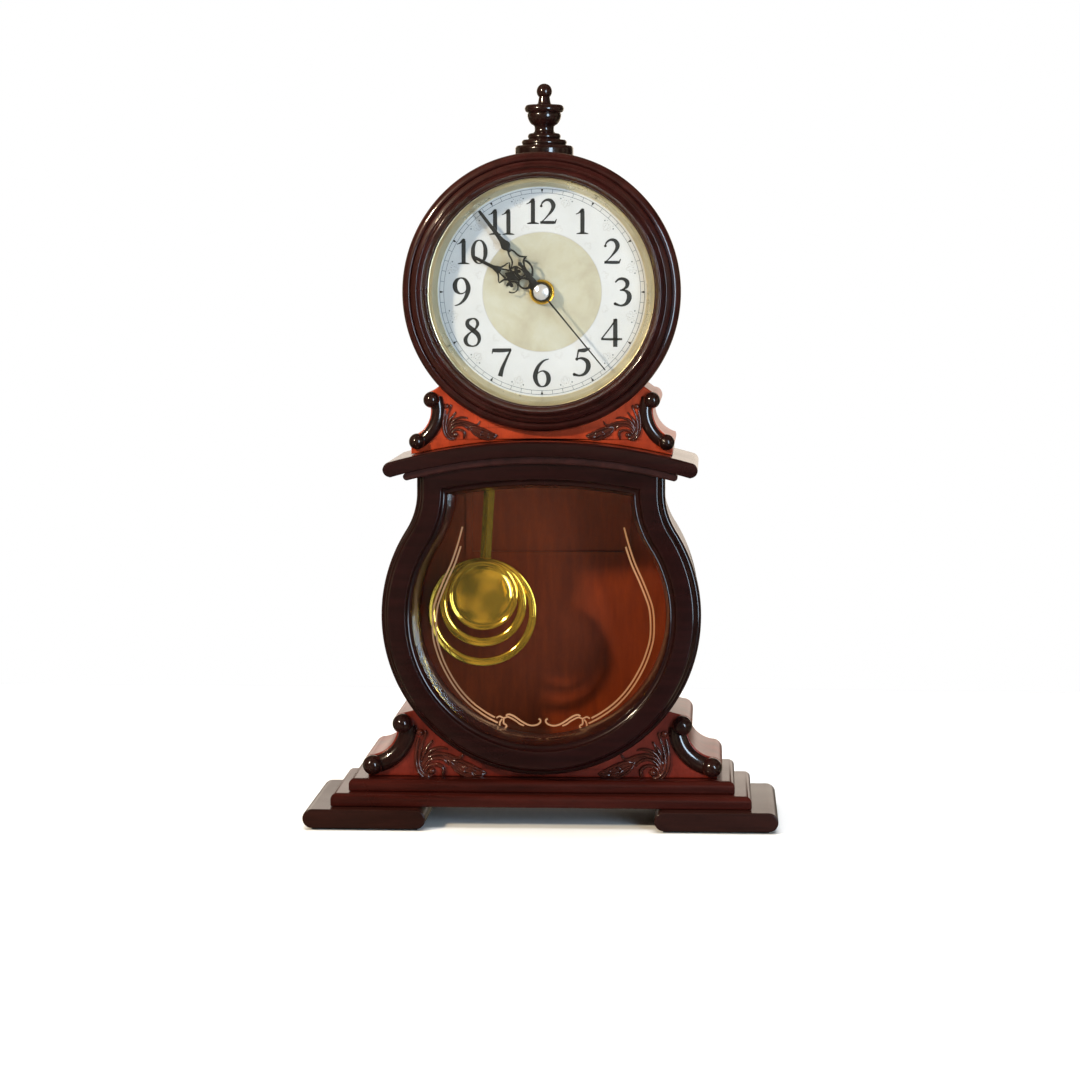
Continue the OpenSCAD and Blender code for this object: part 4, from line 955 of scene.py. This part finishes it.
# An acanthus spray in the lower carving's size: lines of (x, z, radius) about its root, with the
# tips towards the middle.
SPRAY = [
    [(1, 17.6, 1.1), (0.4, 16.4, 1), (1, 14.2, 0.8), (2.2, 11, 0.8), (3.4, 7.2, 0.9), (4.1, 3, 1),
     (4.2, -1.3, 1.1), (3.3, -4.8, 1.2), (1.3, -7.4, 1.3), (-1.2, -8.6, 1.2), (-3, -8.2, 0.7)],
    [(4.6, 13.6, 0.9), (5.5, 9.6, 1), (6.1, 5, 1.1), (6.2, 1, 1.1), (5.7, -2.6, 1.1), (4.6, -6, 1),
     (2.2, -8.8, 0.9), (-0.6, -10, 0.6)],
    [(3.4, 0.2, 0.5), (2.4, 2.4, 0.9), (1.5, 4.8, 1.15), (0.2, 7.2, 1.15), (-1.4, 9.4, 0.9),
     (-2.8, 11.4, 0.75), (-3.4, 12.3, 0.3)],
    [(3, -3, 0.5), (1.9, -0.6, 0.9), (0.8, 2, 1), (-0.8, 4.5, 1.05), (-3.1, 6.4, 1.1),
     (-6, 7.5, 1.1), (-8.8, 7.9, 0.9), (-11.2, 7.4, 0.7), (-12.2, 6.9, 0.3)],
    [(2.6, -4.6, 0.5), (1.6, -1.6, 0.9), (0.1, 1.1, 1), (-2.1, 3.1, 1.05), (-6, 4.3, 1.15),
     (-10.2, 4.3, 1.15), (-14.1, 3.1, 1.1), (-17, 2, 1), (-19.3, 2.3, 0.9), (-20.9, 4.5, 0.6),
     (-21.2, 5.4, 0.2)],
    [(2, -6, 0.5), (0.9, -3, 0.9), (-0.9, -0.4, 0.95), (-3.4, 1.4, 1), (-6.7, 2, 1.1),
     (-9.6, 1.1, 1.1), (-11.5, -0.5, 0.9), (-12.6, -2.4, 0.4)],
    [(1.2, -7, 0.5), (0.2, -4.6, 0.9), (-1.2, -2.8, 0.95), (-3.6, -1.8, 1), (-6.3, -1.8, 1.15),
     (-8.5, -2.8, 1.3), (-9.6, -4.5, 1.35), (-9.4, -6.9, 1.1), (-8.8, -9, 0.5)],
    [(-12.2, 0.8, 0.4), (-13.8, -0.5, 0.9), (-15.7, -1.8, 0.7), (-17.7, -3, 0.7),
     (-19.6, -4.1, 0.8), (-21.6, -5.6, 1.1), (-22.6, -6.8, 0.4)],
    [(-13.6, 0.4, 0.4), (-16.5, 0.4, 0.9), (-19.4, 0, 1.1), (-23.8, -1.5, 1.2), (-28.7, -3.9, 1),
     (-33, -5.9, 0.7), (-34.4, -6.6, 0.2)],
    [(-20, -4.2, 0.5), (-21.4, -3.6, 0.9), (-23, -3.2, 0.9), (-24.2, -3.4, 0.3)],
    [(-21.6, -5.4, 0.6), (-24.1, -5.8, 0.9), (-25.6, -6.6, 1), (-27.2, -8.2, 0.8),
     (-27.8, -9, 0.2)],
    [(-34.2, -6.4, 0.3), (-31.4, -7.2, 0.9), (-28.6, -7.2, 0.9), (-26.4, -6.9, 0.5)],
    [(-13.6, -1.2, 0.4), (-15.6, -4, 0.8), (-18.6, -6.6, 0.9), (-22.4, -8.4, 0.9),
     (-26.6, -9.4, 0.8), (-30.4, -8.8, 0.7), (-33.8, -7, 0.2)],
]
BEADS = [(3.6, 16.6, 2.1), (-3, -5.6, 2.2), (-27.2, -5.2, 0.95)]


def spray(shape, root, size, wide, face, s):
    """One carving: fronds, beads, and a low ground under them that holds the spray together."""
    def put(x, z):
        return s * (root[0] + x * size * wide), root[1] + z * size
    for line in SPRAY:
        pts = [(*put(x, z), r * size) for x, z, r in line]
        path = [(x, face - 0.15, z, max(0.05, r)) for x, z, r in spline(pts, 6)]
        tube(shape, path, 1.7, 12, face + 0.1)
    for x, z, r in BEADS:
        px, pz = put(x, z)
        ball(shape, px, face - 0.4, pz, r * size, 1.1, 20)
    for pts in ([(4.6, 10, 2), (4.9, 2, 2.6), (3, -4, 3.6), (-1, -7.6, 3.2)],
                [(3, -3, 3.4), (-2, 2.2, 4.4), (-8, 3.6, 4.2), (-14, 1.4, 3.2), (-19, 0.4, 2.2)],
                [(-14, -1.4, 2.6), (-20, -3.6, 6.4), (-27, -5.8, 5.2), (-33.4, -6.4, 1)]):
        flat = [(*put(x, z), w * size) for x, z, w in pts]
        solid_ribbon(shape, flat, face - 0.7 * size, face + 0.1, n=6)


for level, root, size, wide, face in (("lower", (66, 35.3), 1, 1, LOW["face"]),
                                      ("upper", (50.9, 226.4), 0.72, 1.06, TOP["face"])):
    shape = Shape()
    for s in (1, -1):
        spray(shape, root, size, wide, face, s)
    shape.make(level + " leaf carvings", carving, "case", replaces=[level + "_leaf_carvings"],
               slot="gloss_wood", angle=50)


# ---------- CAD nodes that are shown as they are ----------

KEPT = {
    "felt": "felt_pads",
    "clear_glass": "front_glass dial_glass",
    "back_board": "dial_board back_panel rear_door",
    "steel": "panel_screws hinge_pins stator pendulum_axle",
    "brass": "case_hinge_leaves door_hinge_leaves door_knob",
    "magnet": "catch_magnet rotor",
    "black_plastic": "movement_front movement_back pendulum_drive setting_knob",
    "white_plastic": "train_plate intermediate_wheel seconds_wheel third_wheel centre_wheel "
                     "cannon_pinion minute_wheel hour_wheel pendulum_hanger",
    "copper_wire": "drive_coil",
    "circuit": "circuit_and_contacts",
    "battery_wrap": "battery",
}
SOFT_EDGES = {"rear_door": 0.5, "back_panel": 0.3, "movement_front": 0.4, "movement_back": 0.4,
              "battery": 0.2, "door_knob": 0.25, "case_hinge_leaves": 0.12,
              "door_hinge_leaves": 0.12, "pendulum_drive": 0.3, "setting_knob": 0.15,
              "pendulum_hanger": 0.15, "panel_screws": 0.08}
for paint, nodes in KEPT.items():
    for node in nodes.split():
        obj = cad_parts[node]
        for material_slot in obj.material_slots:
            material_slot.material = P[paint].mat
        if node in SOFT_EDGES:
            m = obj.modifiers.new("soft edges", "BEVEL")
            m.width = SOFT_EDGES[node] * MM
            m.segments = 2
            m.limit_method = "ANGLE"
            m.angle_limit = radians(40)
            m.harden_normals = True


# ---------- stage ----------

def aim(obj, at, target):
    """Puts a lamp or camera into the scene at a point, looking at target."""
    obj.location = [v * MM for v in at]
    way = Vector([(b - a) * MM for a, b in zip(at, target)])
    obj.rotation_euler = way.to_track_quat("-Z", "Y").to_euler()
    bpy.context.scene.collection.objects.link(obj)
    return obj


def lamp(name, at, target, size, watts, color, size_y=None):
    data = bpy.data.lights.new(name, "AREA")
    data.shape = "RECTANGLE" if size_y else "SQUARE"
    data.size = size * MM
    if size_y:
        data.size_y = size_y * MM
    data.energy = watts
    data.color = color
    obj = aim(bpy.data.objects.new(name, data), at, target)
    obj.visible_camera = False
    return obj


SIDE, FRONT, BACK = 1.1, -1.6, 0.55     # edges of the floor, in metres
mesh = bpy.data.meshes.new("floor")
mesh.from_pydata([(-SIDE, FRONT, 0), (SIDE, FRONT, 0), (SIDE, BACK, 0), (-SIDE, BACK, 0)], [],
                 [(0, 1, 2, 3)])
mesh.materials.append(Paint("pale floor", (0.86, 0.86, 0.86), 0.9).mat)
floor = bpy.data.objects.new("floor", mesh)
bpy.context.scene.collection.objects.link(floor)

key = lamp("warm key", (-1300, -1500, 1120), (0, 0, 190), 150, 50, (1, 0.83, 0.6))
window = lamp("window", (950, -1750, 380), (0, 0, 200), 450, 30, (0.62, 0.81, 1), 1000)
over = lamp("overhead", (0, 100, 2400), (0, 100, 0), 2400, 95, (1, 1, 1))
back = lamp("back wall", (0, 2300, 500), (0, 0, 180), 2400, 9, (1, 0.86, 0.74), 1000)
floor.visible_glossy = False
over.visible_glossy = False

world = bpy.data.worlds.new("studio")
bpy.context.scene.world = world
world.use_nodes = True
tree = world.node_tree
tree.nodes.clear()
# The camera sees plain white. Reflections and the faint fill see a dark room with warm patches.
direction = add_node(tree, "ShaderNodeTexCoord").outputs["Generated"]
patches = add_node(tree, "ShaderNodeTexNoise", {"Vector": direction, "Scale": 3.2, "Detail": 2})
tones = [(0.46, (0.03, 0.025, 0.02)), (0.66, (1, 0.84, 0.55))]
walls = colour_ramp(tree, patches.outputs["Fac"], tones)
room = add_node(tree, "ShaderNodeBackground", {"Color": walls, "Strength": 0.4})
white = add_node(tree, "ShaderNodeBackground", {"Color": (1, 1, 1, 1), "Strength": 1})
seen = add_node(tree, "ShaderNodeLightPath").outputs["Is Camera Ray"]
mix = add_node(tree, "ShaderNodeMixShader", {"Fac": seen, 1: room.outputs[0], 2: white.outputs[0]})
add_node(tree, "ShaderNodeOutputWorld", {"Surface": mix.outputs[0]})

# About 1.8 m away: the plinth asks for a camera further off, and the head for a nearer one.
camera = bpy.data.cameras.new("photo view")
camera.lens = 107.7
camera.sensor_width = 36
camera.clip_end = 60
eye = aim(bpy.data.objects.new("photo view", camera), (96.2, -1844, 321.7), (-0.1, -44, 164.2))
bpy.context.scene.camera = eye
bpy.context.scene.view_settings.view_transform = "Standard"
